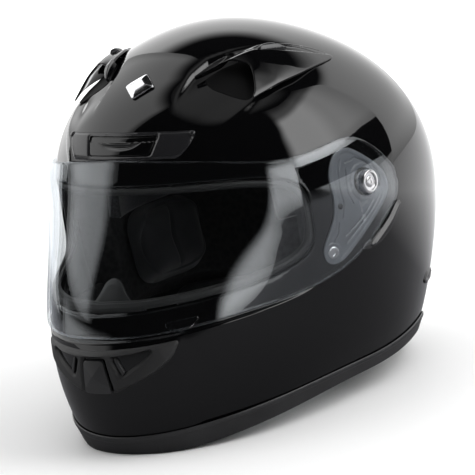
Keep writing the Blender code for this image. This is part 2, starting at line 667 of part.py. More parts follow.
def build_mechanism(plate_mat, cap_mat, screw_mat, lever_mat, lever_pivots):
    at = local_map(POD)
    plate = patch("left_base_plate", hugging(at), ring_of(PLATE_OUTLINE, 42), 0.35 * MM,
                  1.25 * MM, plate_mat, rings=5, centre=np.array([-8.0, -12.0]) * MM)
    well = disc("plate_bore_cutter", POD, (1, 0, 0), PIVOT_CAP_RADIUS + 0.5 * MM, 30 * MM,
                guide, sides=24)
    cut(plate, well)
    seat = at(*SCREW_PLACE, 1.2 * MM)
    outward = (seat - CENTRE) / np.linalg.norm(seat - CENTRE)
    hole = disc("plate_screw_cutter", seat, outward, 4.9 * MM, 12 * MM, guide, sides=16)
    cut(plate, hole)
    mirrored(plate, "right_base_plate")
    screw = disc("left_base_plate_screw", seat + outward * 0.1 * MM, outward, 4.4 * MM,
                 1.6 * MM, screw_mat, sides=16, chamfer=0.3 * MM)
    mirrored(screw, "right_base_plate_screw")
    cap_in, cap_out = 127.9 * MM, 133.8 * MM
    cap = disc("left_pivot_cap", ((cap_in + cap_out) / 2, PIVOT_Y, PIVOT_Z), (1, 0, 0),
               PIVOT_CAP_RADIUS, cap_out - cap_in, cap_mat, sides=28, chamfer=0.6 * MM)
    mirrored(cap, "right_pivot_cap")
    reach = local_map(LEVER_TRAVEL_ANCHOR)
    upper = np.array([(-1.5, 1.5), (10, 9), (22, 16.5), (36, 26)]) * MM
    lower = np.array([(1.0, -3.5), (13, -1.0), (27, 8.0), (38.5, 22.5)]) * MM
    lever = strip("left_release_lever", reach, upper, lower, 1.0 * MM,
                  lambda s, t: (2.8 + 1.2 * np.sin(np.pi * t)) * MM, lever_mat, along=9,
                  across=4, parent=lever_pivots["left"])
    mirrored(lever, "right_release_lever", lever_pivots["right"])


# ---- chin strap ---------------------------------------------------------------------
def strap_height(x):
    """Sag of the buckled strap between its two anchors."""
    return STRAP_LOW_Z + (STRAP_ANCHOR_Z - STRAP_LOW_Z) * (x / STRAP_ANCHOR_X)**2


def strap_run(name, start, end, lift, mat, parent, count):
    """Webbing between two x positions, raised by lift above the strap's sag."""
    x = np.linspace(start, end, count)
    z = strap_height(x) + lift
    slope = np.gradient(z, x)
    normal = np.stack([-slope, np.ones(count)], -1) / np.sqrt(1 + slope**2)[:, None]
    sections = []
    for y, h in ((-0.5, 0), (0.5, 0), (0.5, 1), (-0.5, 1)):
        shift = normal * STRAP_THICKNESS * h
        sections.append(np.stack([x + shift[:, 0], STRAP_Y + y * STRAP_WIDTH + 0 * x,
                                  z + shift[:, 1]], -1))
    return swept_ring(name, np.stack(sections, 1), mat, ring=False, parent=parent)


def d_ring(name, x, mat, parent):
    """Wire ring with one straight side, standing across the strap."""
    half, high, drop, wire = STRAP_WIDTH / 2 + 4.5 * MM, 8.0 * MM, 4.4 * MM, 1.5 * MM
    arc = np.radians(np.linspace(0, 180, 9))
    path = [(half * math.cos(a), high * math.sin(a)) for a in arc]
    path += [(-half * 0.86, -drop), (0, -drop), (half * 0.86, -drop)]
    path = closed_curve(path, 24)
    ahead, behind = np.roll(path, -1, 0), np.roll(path, 1, 0)
    along = (ahead - behind) / np.linalg.norm(ahead - behind, axis=1)[:, None]
    outward = np.stack([along[:, 1], -along[:, 0]], -1)
    sections = []
    for turn in np.arange(8) * math.pi / 4:
        flat = path + outward * wire * math.cos(turn)
        sections.append(np.stack([x + wire * math.sin(turn) + 0 * flat[:, 0],
                                  STRAP_Y + flat[:, 0],
                                  STRAP_LOW_Z + 2.2 * MM + flat[:, 1]], -1))
    swept_ring(name, np.stack(sections, 1), mat, parent=parent)


def build_chin_strap(webbing, metal, dark, strap_pivot):
    stacked = STRAP_THICKNESS + 0.5 * MM
    strap_run("right_strap", -STRAP_ANCHOR_X + 3 * MM, 44 * MM, 0.0, webbing, strap_pivot,
              20)
    strap_run("left_strap", -8 * MM, STRAP_ANCHOR_X - 3 * MM, stacked, webbing,
              strap_pivot, 16)
    d_ring("front_d_ring", 3 * MM, metal, strap_pivot)
    d_ring("back_d_ring", 9 * MM, metal, strap_pivot)
    disc("strap_end_snap", (38 * MM, STRAP_Y, strap_height(38 * MM) - 2.4 * MM),
         (0, 0, 1), 5.5 * MM, 1.8 * MM, dark, sides=16, parent=strap_pivot)
    for sign, name in ((1, "left"), (-1, "right")):
        disc(name + "_strap_anchor", (sign * (STRAP_ANCHOR_X + 1.6 * MM), STRAP_Y,
                                      STRAP_ANCHOR_Z + 2.0 * MM),
             (1, 0, 0), 7.0 * MM, 2.4 * MM, metal, sides=16, chamfer=0.4 * MM)


# ---- assembly -----------------------------------------------------------------------
for old in list(bpy.data.objects):
    bpy.data.objects.remove(old, do_unlink=True)

guide = material("guide", (0.8, 0.1, 0.1), 0.5)
gloss_black = material("gloss_black", (0.012, 0.012, 0.014), 0.06)
satin_black = material("satin_black", (0.035, 0.035, 0.038), 0.35)
matte_black = material("matte_black", (0.03, 0.03, 0.032), 0.55)
rubber_black = material("rubber_black", (0.015, 0.015, 0.015), 0.8)
clear_shield = material("clear_shield", (0.75, 0.78, 0.8), 0.03, alpha=0.3)
smoke_plastic = material("smoke_plastic", (0.12, 0.13, 0.14), 0.3)
bright_steel = material("bright_steel", (0.75, 0.75, 0.76), 0.2, metallic=1.0)
chrome = material("chrome", (0.85, 0.85, 0.86), 0.05, metallic=1.0)
foam_black = material("foam_black", (0.03, 0.03, 0.03), 0.9)
liner_cloth = material("liner_cloth", (0.045, 0.045, 0.05), 0.95)
strap_webbing = material("strap_webbing", (0.02, 0.02, 0.02), 0.9)

shield_hinge = pivot("shield_hinge_axis", (0, PIVOT_Y, PIVOT_Z))
shutter_slide = pivot("shutter_slide_axis", on_shell(0, math.radians(54.8), 1.5 * MM))
button_slide = pivot("button_slide_axis", on_shell(0, math.radians(109.0), 2 * MM))
strap_hinge = pivot("strap_hinge_axis", (0, STRAP_Y, STRAP_ANCHOR_Z))
flip = np.array([-1, 1, 1])
slider_slides = {"left": pivot("left_slider_axis", TOP_VENT),
                 "right": pivot("right_slider_axis", TOP_VENT * flip)}
lever_hinges = {"left": pivot("left_lever_axis", LEVER_TRAVEL_ANCHOR),
                "right": pivot("right_lever_axis", LEVER_TRAVEL_ANCHOR * flip)}

build_outer_shell(gloss_black)
build_edge_trim(satin_black)
build_port_gasket(rubber_black)
build_liners(foam_black, liner_cloth)
build_breath_deflector(matte_black)
build_forehead_vent(satin_black, gloss_black, shutter_slide)
build_top_vents(gloss_black, satin_black, slider_slides)
build_chin_vent(matte_black, satin_black, button_slide)
build_rear_vents(satin_black)
build_front_badge(chrome)
build_shield(clear_shield, shield_hinge)
build_lift_tab(clear_shield, shield_hinge)
build_mechanism(smoke_plastic, bright_steel, chrome, satin_black, lever_hinges)
build_chin_strap(strap_webbing, bright_steel, matte_black, strap_hinge)
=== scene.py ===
"""Looks of the full-face helmet: fine surfaces, finishes, studio and camera.

Frame: +X is the wearer's left, -Y the front, +Z up, z = 0 the surface it stands on. The
shell is a radius that depends on theta (0 at the front, 90 degrees on the wearer's left)
and phi (0 at the crown), and every piece on it is a plate at some offset from it.
"""

import math

import bpy
import numpy as np
from mathutils import Matrix, Vector


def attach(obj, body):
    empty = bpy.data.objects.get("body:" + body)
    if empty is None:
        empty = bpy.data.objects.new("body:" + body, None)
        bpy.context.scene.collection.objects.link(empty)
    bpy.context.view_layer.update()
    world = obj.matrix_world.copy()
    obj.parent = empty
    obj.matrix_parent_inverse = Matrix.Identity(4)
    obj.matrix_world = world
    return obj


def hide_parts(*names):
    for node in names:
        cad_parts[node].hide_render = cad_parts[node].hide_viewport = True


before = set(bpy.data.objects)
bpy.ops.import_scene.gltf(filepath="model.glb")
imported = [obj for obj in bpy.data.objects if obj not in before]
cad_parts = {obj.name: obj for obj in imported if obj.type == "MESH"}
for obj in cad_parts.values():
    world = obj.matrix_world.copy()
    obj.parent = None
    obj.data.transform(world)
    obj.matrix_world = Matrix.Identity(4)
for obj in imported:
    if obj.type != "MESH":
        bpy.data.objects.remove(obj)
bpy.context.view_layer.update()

MM = 0.001
CENTRE = np.array([0.0, 6.9, 123.5]) * MM          # where the shell's radii start

# radius along the midline, from the nape (negative phi) over the crown to the chin
MIDLINE_PHI = np.radians([-135, -115, -90, -60, -30, 0, 25, 50, 65, 80, 95, 108, 120, 132])
MIDLINE_RADIUS = np.array([172.5, 170.5, 166.5, 148.0, 140.0, 142.5, 141.5, 142.5,
                           140.0, 148.5, 167.0, 185.5, 198.5, 210.5]) * MM
SIDE_PHI = np.radians([30, 60, 90, 110, 132])
SIDE_RADIUS = np.array([142.0, 137.5, 127.0, 128.5, 142.5]) * MM
FULLNESS_PHI = np.radians([50, 90, 125])
FULLNESS_FRONT = np.array([-0.025, 0.040, -0.007])
FULLNESS_REAR = np.array([-0.063, 0.011, 0.077])
RIM_PHI = np.array([126.9, 131.4, 135.6, 132.1, 135.7])

SHELL_THICKNESS = 4.0 * MM
RECESS_DEPTH = 2.6 * MM            # seat in the shell that the shield drops into
SWING_RELIEF = 1.6 * MM            # the shell is drawn in above the pods
BROW_RELIEF = 1.2 * MM             # and above the shield, where it swings
BROW_STAND = 2.0 * MM              # how far the shield's top edge stands out
PORT_WIDTH, PORT_PHI, PORT_HEIGHT = np.radians([62.5, 82.5, 16.0])
PIVOT = np.array([127.0, -9.4, 153.4]) * MM
SHIELD_THICKNESS = 2.2 * MM
SHIELD_HOLE = 9.0 * MM
STRAP_X, STRAP_Y, STRAP_Z, STRAP_LOW = np.array([103.0, 0.9, 47.0, 8.0]) * MM
STRAP_WIDTH, STRAP_THICKNESS = 22.0 * MM, 1.8 * MM

# edges of the shield from the midline back to the pod, as (theta, phi) in degrees
SHIELD_TOP = np.array([(0, 59.7), (22, 60.9), (41, 63.1), (55, 65.1), (69, 64.2),
                       (81, 64.0), (90, 69.5), (96.0, 76.0)])
SHIELD_BOTTOM = np.array([(0, 102.4), (23, 103.1), (43, 103.3), (62.9, 101.4),
                          (77.9, 96.2), (88, 89.5), (94.5, 85.0), (96.6, 81.0)])


# ---- the shell's surface ------------------------------------------------------------
def natural_spline(knots, values):
    """Natural cubic spline through the knots, as a function of arrays."""
    knots, values = np.asarray(knots, float), np.asarray(values, float)
    step = np.diff(knots)
    count = len(knots)
    system, right = np.eye(count), np.zeros(count)
    for i in range(1, count - 1):
        system[i, i - 1:i + 2] = step[i - 1], 2 * (step[i - 1] + step[i]), step[i]
        slopes = np.diff(values)[i - 1:i + 1] / step[i - 1:i + 1]
        right[i] = 6 * (slopes[1] - slopes[0])
    bend = np.linalg.solve(system, right)

    def curve(x):
        x = np.asarray(x, float)
        k = np.clip(np.searchsorted(knots, x) - 1, 0, count - 2)
        near, far, h = x - knots[k], knots[k + 1] - x, step[k]
        cubic = (bend[k] * far**3 + bend[k + 1] * near**3) / (6 * h)
        start = (values[k] / h - bend[k] * h / 6) * far
        return cubic + start + (values[k + 1] / h - bend[k + 1] * h / 6) * near

    return curve


midline = natural_spline(MIDLINE_PHI, MIDLINE_RADIUS)
side = natural_spline(np.concatenate([-SIDE_PHI[1::-1], [0], SIDE_PHI]),
                      np.concatenate([SIDE_RADIUS[1::-1], MIDLINE_RADIUS[5:6], SIDE_RADIUS]))
fullness_front = natural_spline(FULLNESS_PHI, FULLNESS_FRONT)
fullness_rear = natural_spline(FULLNESS_PHI, FULLNESS_REAR)
rim_curve = natural_spline(np.arange(-90, 271, 45), RIM_PHI[[2, 1, 0, 1, 2, 3, 4, 3, 2]])
CROWN_SLOPE = float(midline(1e-4) - midline(-1e-4)) / 2e-4
CROWN_WINDOW = 0.9                 # radians over which the crown's slope dies away


def smooth_step(x):
    """0 below 0, 1 above 1, and 3 x^2 - 2 x^3 between."""
    x = np.clip(x, 0, 1)
    return x * x * (3 - 2 * x)


def radius(theta, phi):
    """Shell radius: a rounded ellipse between the midline and the side radii."""
    tilt = CROWN_SLOPE * np.sin(phi) * np.exp(-(phi / CROWN_WINDOW)**2)
    front, rear = midline(phi) - tilt, midline(-phi) + tilt
    c, s = np.cos(theta), np.sin(theta)
    mix = smooth_step((c + 1) / 2)
    length = mix * front + (1 - mix) * rear
    plain = ((c / length)**2 + (s / side(phi))**2)**-0.5
    lean = (mix * fullness_front(phi) + (1 - mix) * fullness_rear(phi)) * np.sin(phi)**4
    return plain * (1 - lean * np.sin(2 * theta)**2) + tilt * c


def direction(theta, phi):
    """Unit ray from the centre at theta, phi."""
    return np.stack([np.sin(phi) * np.sin(theta), -np.sin(phi) * np.cos(theta),
                     np.cos(phi) + 0 * theta], -1)


def on_shell(theta, phi, offset=0.0):
    """Point of the smooth surface at theta, phi, moved out by the offset."""
    theta, phi = np.broadcast_arrays(np.asarray(theta, float), np.asarray(phi, float))
    reach = radius(theta, phi) + offset
    return CENTRE + direction(theta, phi) * reach[..., None]


def rim_phi(theta):
    """Phi of the bottom rim, the same on both sides."""
    turn = np.abs((np.asarray(theta) + np.pi) % (2 * np.pi) - np.pi)
    return np.radians(rim_curve(np.degrees(turn)))


def local_frame(anchor):
    """Outward, across (towards the left and rear) and up directions at a point, and
    the distance from the centre to the smooth surface there."""
    out = np.asarray(anchor, float) - CENTRE
    out /= np.linalg.norm(out)
    up = np.array([0.0, 0.0, 1.0]) - out[2] * out
    up /= np.linalg.norm(up)
    reach = float(radius(math.atan2(out[0], -out[1]), math.acos(out[2])))
    return out, np.cross(up, out), up, reach


def local_map(anchor, sign=1):
    """at(a, b, offset): a runs towards the wearer's left and rear, b runs up, and the
    point is pushed along its ray to the surface. sign -1 gives the wearer's right."""
    out, across, up, reach = local_frame(anchor)

    def at(a, b, offset):
        a, b = np.broadcast_arrays(np.asarray(a, float), np.asarray(b, float))
        ray = out * reach + a[..., None] * across + b[..., None] * up
        ray /= np.linalg.norm(ray, axis=-1, keepdims=True)
        theta = np.arctan2(ray[..., 0], -ray[..., 1])
        return on_shell(theta, np.arccos(ray[..., 2]), offset) * [sign, 1, 1]

    return at


def local_place(anchor, theta, phi):
    """The (a, b) of theta, phi in the local plane of an anchor."""
    out, across, up, reach = local_frame(anchor)
    ray = direction(theta, phi)
    depth = np.maximum(ray @ out, 0.2)
    return reach * (ray @ across) / depth, reach * (ray @ up) / depth


def closed_curve(points, count):
    """Catmull-Rom curve through a closed ring of points."""
    points = np.asarray(points, float)
    s = np.arange(count) * len(points) / count
    k = s.astype(int)
    t = (s - k)[:, None]
    p = [points[(k + j) % len(points)] for j in (-1, 0, 1, 2)]
    return 0.5 * (2 * p[1] + (p[2] - p[0]) * t + (2 * p[0] - 5 * p[1] + 4 * p[2] - p[3]) * t**2
                  + (3 * p[1] - p[0] - 3 * p[2] + p[3]) * t**3)


def open_curve(points, s):
    """Natural spline through a list of points, read at s from 0 to 1."""
    points = np.asarray(points, float)
    knots = np.linspace(0, 1, len(points))
    return np.stack([natural_spline(knots, points[:, i])(s)
                     for i in range(points.shape[1])], -1)


def shield_line(edge, theta):
    """Phi of a shield edge carried on round the shell, as a function of theta."""
    knots = np.concatenate([edge[:5, 0], [110, 180]])
    values = np.concatenate([edge[:5, 1], [edge[4, 1], edge[4, 1]]])
    both = np.concatenate([-knots[:0:-1], knots])
    curve = natural_spline(both, np.concatenate([values[:0:-1], values]))
    return np.radians(curve(np.degrees(theta)))


TOP_VENT = np.array([68.0, -8.1, 246.0]) * MM
SCOOP_IN = np.array([(-69, 10.2), (-45.3, 9.0), (-21.1, 8.2), (-9, 8.8), (12.8, 1),
                     (28.8, -8.3), (41.6, -19)]) * MM
SCOOP_OUT = np.array([(-60, -35), (-52.7, -34.5), (-44.4, -33.4), (-26.3, -31.5),
                      (-2.4, -29.2), (25.9, -23.6), (41.6, -20)]) * MM
BAND_PHI = np.array([10, 30, 44.5, 49.3, 54.1, 58.2, 60.7, 66])
BAND_THETA = np.array([96, 76, 53.5, 44.2, 36.3, 30.7, 27.1, 20])


def skin(theta, phi):
    """How far the lacquered surface stands off the smooth one. The shield's seat is
    sunk between its edge lines and fades towards the pods; each pod has a broad hollow
    above it; the brow panel ends in a chamfer, outside which the shell is lower; and a
    valley with a steep inner bank leads into each crown scoop."""
    turn = np.abs(np.degrees(theta))
    down = np.degrees(phi)
    top = np.degrees(shield_line(SHIELD_TOP, theta)) - 0.8
    bottom = np.degrees(shield_line(SHIELD_BOTTOM, theta)) + 1.4
    seat = smooth_step((down - top) / 0.55) * smooth_step((bottom - down) / 0.55)
    fade = 1 - smooth_step((turn - 38) / 27)
    offset = -RECESS_DEPTH * fade * seat
    offset -= SWING_RELIEF * np.exp(-((turn - 90) / 14)**2 - ((down - 66) / 11)**2)
    brow = smooth_step((down - 22) / 12) * (1 - smooth_step((turn - 44) / 24))
    offset -= BROW_RELIEF * brow * (1 - smooth_step((down - top) / 0.55))
    beyond = (turn - np.interp(down, BAND_PHI, BAND_THETA)) * np.sin(phi) * 1.9
    strength = smooth_step((down - 36) / 12) * (1 - seat * fade)
    offset -= 1.3 * MM * smooth_step(beyond / 5) * (1 - smooth_step((beyond - 6) / 40)) * strength
    a, b = local_place(TOP_VENT, np.abs(theta), phi)
    bank = np.interp(a, np.array([-101, -90.8, -66.6, -46.8, -23, 0, 42]) * MM,
                     np.array([5.7, 11.3, 20.5, 22.1, 15.5, 8, -14]) * MM)
    inner = smooth_step((bank - b) / (5 * MM))
    outer = smooth_step((b + 44 * MM) / (26 * MM))
    length = smooth_step((a + 112 * MM) / (50 * MM)) * (1 - smooth_step((a + 14 * MM) / (34 * MM)))
    return offset - 3.4 * MM * inner * outer * length


# ---- surfaces -----------------------------------------------------------------------
def corner_mean(grid, wrap, turn=0.0):
    """Value at each cell's middle, the mean of its corners."""
    if wrap:
        grid = np.concatenate([grid, grid[:1] + turn], 0)
    return (grid[:-1, :-1] + grid[1:, :-1] + grid[1:, 1:] + grid[:-1, 1:]) / 4


def border_points(keep, shape):
    """Grid points that touch both a kept cell and a dropped one."""
    inside, outside = np.zeros(shape, bool), np.zeros(shape, bool)
    rows = np.arange(keep.shape[0])
    for i in (rows, (rows + 1) % shape[0]):
        for j in (slice(0, -1), slice(1, None)):
            inside[i, j] |= keep
            outside[i, j] |= ~keep
    return inside & outside


def settled(level, x, y, e, gain=(1.0, 1.0), reach=np.inf, steps=5):
    """Points moved onto level 0 by Newton steps along its gradient, taken with
    differences of e and weighed by the gain, and at most `reach` away."""
    x0, y0 = x, y
    for _ in range(steps):
        gx = (level(x + e, y) - level(x - e, y)) / (2 * e)
        gy = (level(x, y + e) - level(x, y - e)) / (2 * e)
        step = level(x, y) / np.maximum(gx**2 * gain[0] + gy**2 * gain[1], 1e-9)
        x = np.clip(x - step * gx * gain[0], x0 - reach, x0 + reach)
        y = np.clip(y - step * gy * gain[1], y0 - reach, y0 + reach)
    return x, y


def trimmed(a, b, level, wrap=False):
    """Cells whose middle has level below 0 are kept, and the grid points on their edge
    are moved onto level 0. Returns a, b, keep."""
    keep = level(corner_mean(a, wrap, 2 * np.pi), corner_mean(b, wrap)) < 0
    edge = border_points(keep, a.shape)
    cell = float(np.median(np.abs(np.diff(b, axis=1))))
    a, b = a.copy(), b.copy()
    a[edge], b[edge] = settled(level, a[edge], b[edge], cell * 0.05, reach=1.5 * cell)
    return a, b, keep


def make_mesh(name, points, faces, uv=None):
    """Mesh of the points that the faces use; uv gives each point a texture place."""
    used = np.unique(np.concatenate([np.ravel(f) for f in faces]))
    index = np.full(len(points), -1)
    index[used] = np.arange(len(used))
    lists = []
    for block in faces:
        block = index[np.asarray(block)]
        flat = (block == np.roll(block, -1, 1)).any(1)
        lists += block[~flat].tolist()
        lists += [list(dict.fromkeys(f)) for f in block[flat].tolist()]
    mesh = bpy.data.meshes.new(name)
    mesh.from_pydata(points[used], [], [f for f in lists if len(f) > 2])
    if uv is not None:
        corner = np.zeros(len(mesh.loops), np.int32)
        mesh.loops.foreach_get("vertex_index", corner)
        mesh.uv_layers.new(name="cloth")
        mesh.uv_layers["cloth"].data.foreach_set("uv", uv[used][corner].astype(np.float32).ravel())
    mesh.shade_smooth()
    mesh.set_sharp_from_angle(angle=math.radians(42))
    return mesh


def place(name, mesh, mat, body, nodes=()):
    """Object at the origin that rides on a body and stands for its CAD nodes."""
    obj = bpy.data.objects.new(name, mesh)
    bpy.context.scene.collection.objects.link(obj)
    mesh.materials.append(mat)
    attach(obj, body)
    if nodes:
        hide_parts(*([nodes] if isinstance(nodes, str) else nodes))
    return obj


def plate_mesh(name, outer, inner, keep=None, wrap=False, pole=False, lip=0.4 * MM,
               turns=4, uv=None):
    """Closed plate between two sheets of points [u, v]. Every border gets a rounded
    lip: from the outer point p, with n the normal and m the way out of the sheet, the
    ring at angle k is p + m lip sin k - n lip (1 - cos k), then a wall, then the same
    from the inner point. wrap closes u, and pole gathers v = 0 into one point."""
    rows, cols = outer.shape[:2]
    count = rows * cols
    u, v = np.meshgrid(np.arange(rows if wrap else rows - 1), np.arange(cols - 1),
                       indexing="ij")
    w = (u + 1) % rows
    quads = np.stack([u * cols + v, w * cols + v, w * cols + v + 1, u * cols + v + 1], -1)
    quads = (quads if keep is None else quads[keep]).reshape(-1, 4)
    top, low = outer.reshape(-1, 3).copy(), inner.reshape(-1, 3).copy()
    if pole:
        quads = np.where(quads % cols == 0, 0, quads)
        top[0], low[0] = outer[:, 0].mean(0), inner[:, 0].mean(0)
    p = top[quads]
    facing = np.cross(p[:, 2] - p[:, 0], p[:, 3] - p[:, 1])
    if (facing * (p.mean(1) - low[quads].mean(1))).sum() < 0:
        quads, facing = quads[:, ::-1], -facing
    normal = np.zeros((count, 3))
    for k in range(4):
        np.add.at(normal, quads[:, k], facing)
    normal /= np.maximum(np.linalg.norm(normal, axis=1, keepdims=True), 1e-12)
    start, end = quads.ravel(), np.roll(quads, -1, 1).ravel()
    real = start != end
    start, end = start[real], end[real]
    border = ~np.isin(end * count + start, start * count + end)
    start, end = start[border], end[border]
    rim = np.unique(start)
    spot = np.zeros(count, int)
    spot[rim] = np.arange(len(rim))
    ahead, behind = np.zeros(count, int), np.zeros(count, int)
    ahead[start], behind[end] = end, start
    n = normal[rim]
    m = np.cross(top[ahead[rim]] - top[behind[rim]], n)
    m /= np.maximum(np.linalg.norm(m, axis=1, keepdims=True), 1e-12)
    bends = np.arange(1, turns + 1) / turns * math.pi / 2
    rings = [top[rim] + lip * (m * math.sin(k) - n * (1 - math.cos(k))) for k in bends]
    rings += [low[rim] + lip * (m * math.sin(k) + n * (1 - math.cos(k))) for k in bends[::-1]]
    points = np.concatenate([top, low] + rings)
    ids = [rim] + [2 * count + k * len(rim) + np.arange(len(rim)) for k in range(len(rings))]
    ids.append(rim + count)
    faces = [quads, quads[:, ::-1] + count]
    for near, far in zip(ids[:-1], ids[1:]):
        faces.append(np.stack([near[spot[end]], near[spot[start]],
                               far[spot[start]], far[spot[end]]], -1))
    if uv is not None:
        flat = uv.reshape(-1, 2)
        uv = np.concatenate([flat, flat] + [flat[rim]] * len(rings))
    return make_mesh(name, points, faces, uv)


def swept_parts(sections, ring=True, uv=None):
    """Points, faces and texture places of section points [s, k] carried along s; open
    sweeps get a fan at each end."""
    count, size = sections.shape[:2]
    s, k = np.meshgrid(np.arange(count if ring else count - 1), np.arange(size), indexing="ij")
    t, m = (s + 1) % count, (k + 1) % size
    quads = np.stack([s * size + k, t * size + k, t * size + m, s * size + m], -1).reshape(-1, 4)
    points, faces = sections.reshape(-1, 3), [quads]
    if uv is not None:
        uv = np.concatenate([uv.reshape(-1, 2)] + ([] if ring else [uv[[0, -1]].mean(1)]))
    if not ring:
        points = np.concatenate([points, sections[[0, -1]].mean(1)])
        j = np.arange(size)
        base, tip = count * size, (count - 1) * size
        faces.append(np.stack([j, (j + 1) % size, base + 0 * j], -1))
        faces.append(np.stack([tip + (j + 1) % size, tip + j, base + 1 + 0 * j], -1))
    p = points[quads]
    volume = (np.cross(p[:, 2] - p[:, 0], p[:, 3] - p[:, 1]) * (p.mean(1) - points.mean(0))).sum()
    return points, [f[:, ::-1] for f in faces] if volume < 0 else faces, uv


def swept_mesh(name, sections, ring=True, uv=None):
    """Closed mesh of the parts that swept_parts gives."""
    return make_mesh(name, *swept_parts(sections, ring, uv))


def turned_mesh(name, centre, axis, profile, sides=64):
    """Profile of (radius, height) points turned round an axis; the ends lie on it."""
    axis = np.asarray(axis, float) / np.linalg.norm(axis)
    x = np.cross(axis, [0.0, 0.31, 0.95])
    x /= np.linalg.norm(x)
    y = np.cross(axis, x)
    turn = np.arange(sides)[:, None] * 2 * np.pi / sides
    r, h = np.asarray(profile, float).T * MM
    spoke = np.cos(turn)[..., None] * x + np.sin(turn)[..., None] * y
    points = np.asarray(centre) + spoke * r[None, :, None] + axis * h[None, :, None]
    cols = len(r)
    u, v = np.meshgrid(np.arange(sides), np.arange(cols - 1), indexing="ij")
    w = (u + 1) % sides
    quads = np.stack([u * cols + v, w * cols + v, w * cols + v + 1, u * cols + v + 1], -1)
    quads = quads.reshape(-1, 4)
    quads = np.where(quads % cols == 0, 0, quads)
    quads = np.where(quads % cols == cols - 1, cols - 1, quads)
    flat = points.reshape(-1, 3)
    p = flat[quads]
    facing = np.cross(p[:, 2] - p[:, 0], p[:, 3] - p[:, 1])
    if (facing * (p.mean(1) - flat.mean(0))).sum() < 0:
        quads = quads[:, ::-1]
    return make_mesh(name, flat, [quads])


def outline_level(points, smooth=True, count=96):
    """Signed distance to a closed outline, below 0 inside: the least distance to its
    short sides, with the sign from how often a ray crosses them."""
    ring = closed_curve(points, count) if smooth else np.asarray(points, float)
    p, q = ring, np.roll(ring, -1, 0)

    def level(a, b):
        shape = np.shape(a)
        x, y = np.ravel(a)[:, None], np.ravel(b)[:, None]
        dx, dy = q[:, 0] - p[:, 0], q[:, 1] - p[:, 1]
        t = ((x - p[:, 0]) * dx + (y - p[:, 1]) * dy) / np.maximum(dx**2 + dy**2, 1e-14)
        t = np.clip(t, 0, 1)
        gap = np.hypot(x - p[:, 0] - t * dx, y - p[:, 1] - t * dy).min(1)
        above = (p[:, 1] > y) != (q[:, 1] > y)
        cross = p[:, 0] + (y - p[:, 1]) * dx / np.where(dy == 0, 1e-14, dy)
        odd = (above & (x < cross)).sum(1) % 2
        return np.where(odd == 1, -gap, gap).reshape(shape)

    return level


def rounded_outline(points, corner, steps=7):
    """Straight-sided outline in mm with each corner rounded by a quadratic arc that
    starts and ends `corner` mm from it, or at half the shorter side."""
    points = np.asarray(points, float) * MM
    before, after = np.roll(points, 1, 0) - points, np.roll(points, -1, 0) - points
    reach_b = np.linalg.norm(before, axis=1, keepdims=True)
    reach_a = np.linalg.norm(after, axis=1, keepdims=True)
    cut = np.minimum(corner * MM, 0.5 * np.minimum(reach_a, reach_b))
    first, last = points + before / reach_b * cut, points + after / reach_a * cut
    t = np.linspace(0, 1, steps)[None, :, None]
    arc = first[:, None] * (1 - t)**2 + 2 * points[:, None] * t * (1 - t) + last[:, None] * t**2
    return arc.reshape(-1, 2)


def local_plate(name, at, outline, top, bottom, cell, holes=(), lip=0.3 * MM, turns=3):
    """Plate over an outline of a local map, with holes. top and bottom are offsets, or
    functions of (a, b, d), d being the distance in from the outline and the holes."""
    edge = outline_level(outline, False)
    gaps = [outline_level(h, False) for h in holes]

    def level(a, b):
        value = edge(a, b) + lip
        for gap in gaps:
            value = np.maximum(value, lip - gap(a, b))
        return value

    lo, hi = outline.min(0) - 2 * cell, outline.max(0) + 2 * cell
    size = np.ceil((hi - lo) / cell).astype(int) + 1
    a, b = np.meshgrid(np.linspace(lo[0], hi[0], size[0]), np.linspace(lo[1], hi[1], size[1]),
                       indexing="ij")
    a, b, keep = trimmed(a, b, level)
    d = -level(a, b)
    height = top(a, b, d) if callable(top) else top
    depth = bottom(a, b, d) if callable(bottom) else bottom
    return plate_mesh(name, at(a, b, height), at(a, b, depth), keep, lip=lip, turns=turns)


def both_sides(points):
    """Outline of the left half, closed with its mirror image across a = 0."""
    points = np.asarray(points, float)
    twin = points[::-1] * [-1, 1]
    return np.concatenate([points, twin[twin[:, 0] != 0]])


# ---- finishes -----------------------------------------------------------------------
def new_material(name):
    """Node material and its tree, with the Principled shader it starts with."""
    mat = bpy.data.materials.new(name)
    mat.use_nodes = True
    return mat, mat.node_tree


def add_node(tree, kind, **settings):
    """New shader node; each setting is an input's value or else a property."""
    made = tree.nodes.new("ShaderNode" + kind)
    for key, value in settings.items():
        label = key.replace("_", " ")
        if label in made.inputs:
            made.inputs[label].default_value = value
        else:
            setattr(made, key, value)
    return made


def coordinates(tree, kind):
    """Object coordinates, or the piece's own UV, as an output."""
    return add_node(tree, "TexCoord").outputs[kind]


def times(tree, first, second):
    """Product of two outputs, or of an output and a number."""
    node = add_node(tree, "Math", operation="MULTIPLY")
    tree.links.new(first, node.inputs[0])
    if isinstance(second, float):
        node.inputs[1].default_value = second
    else:
        tree.links.new(second, node.inputs[1])
    return node.outputs[0]


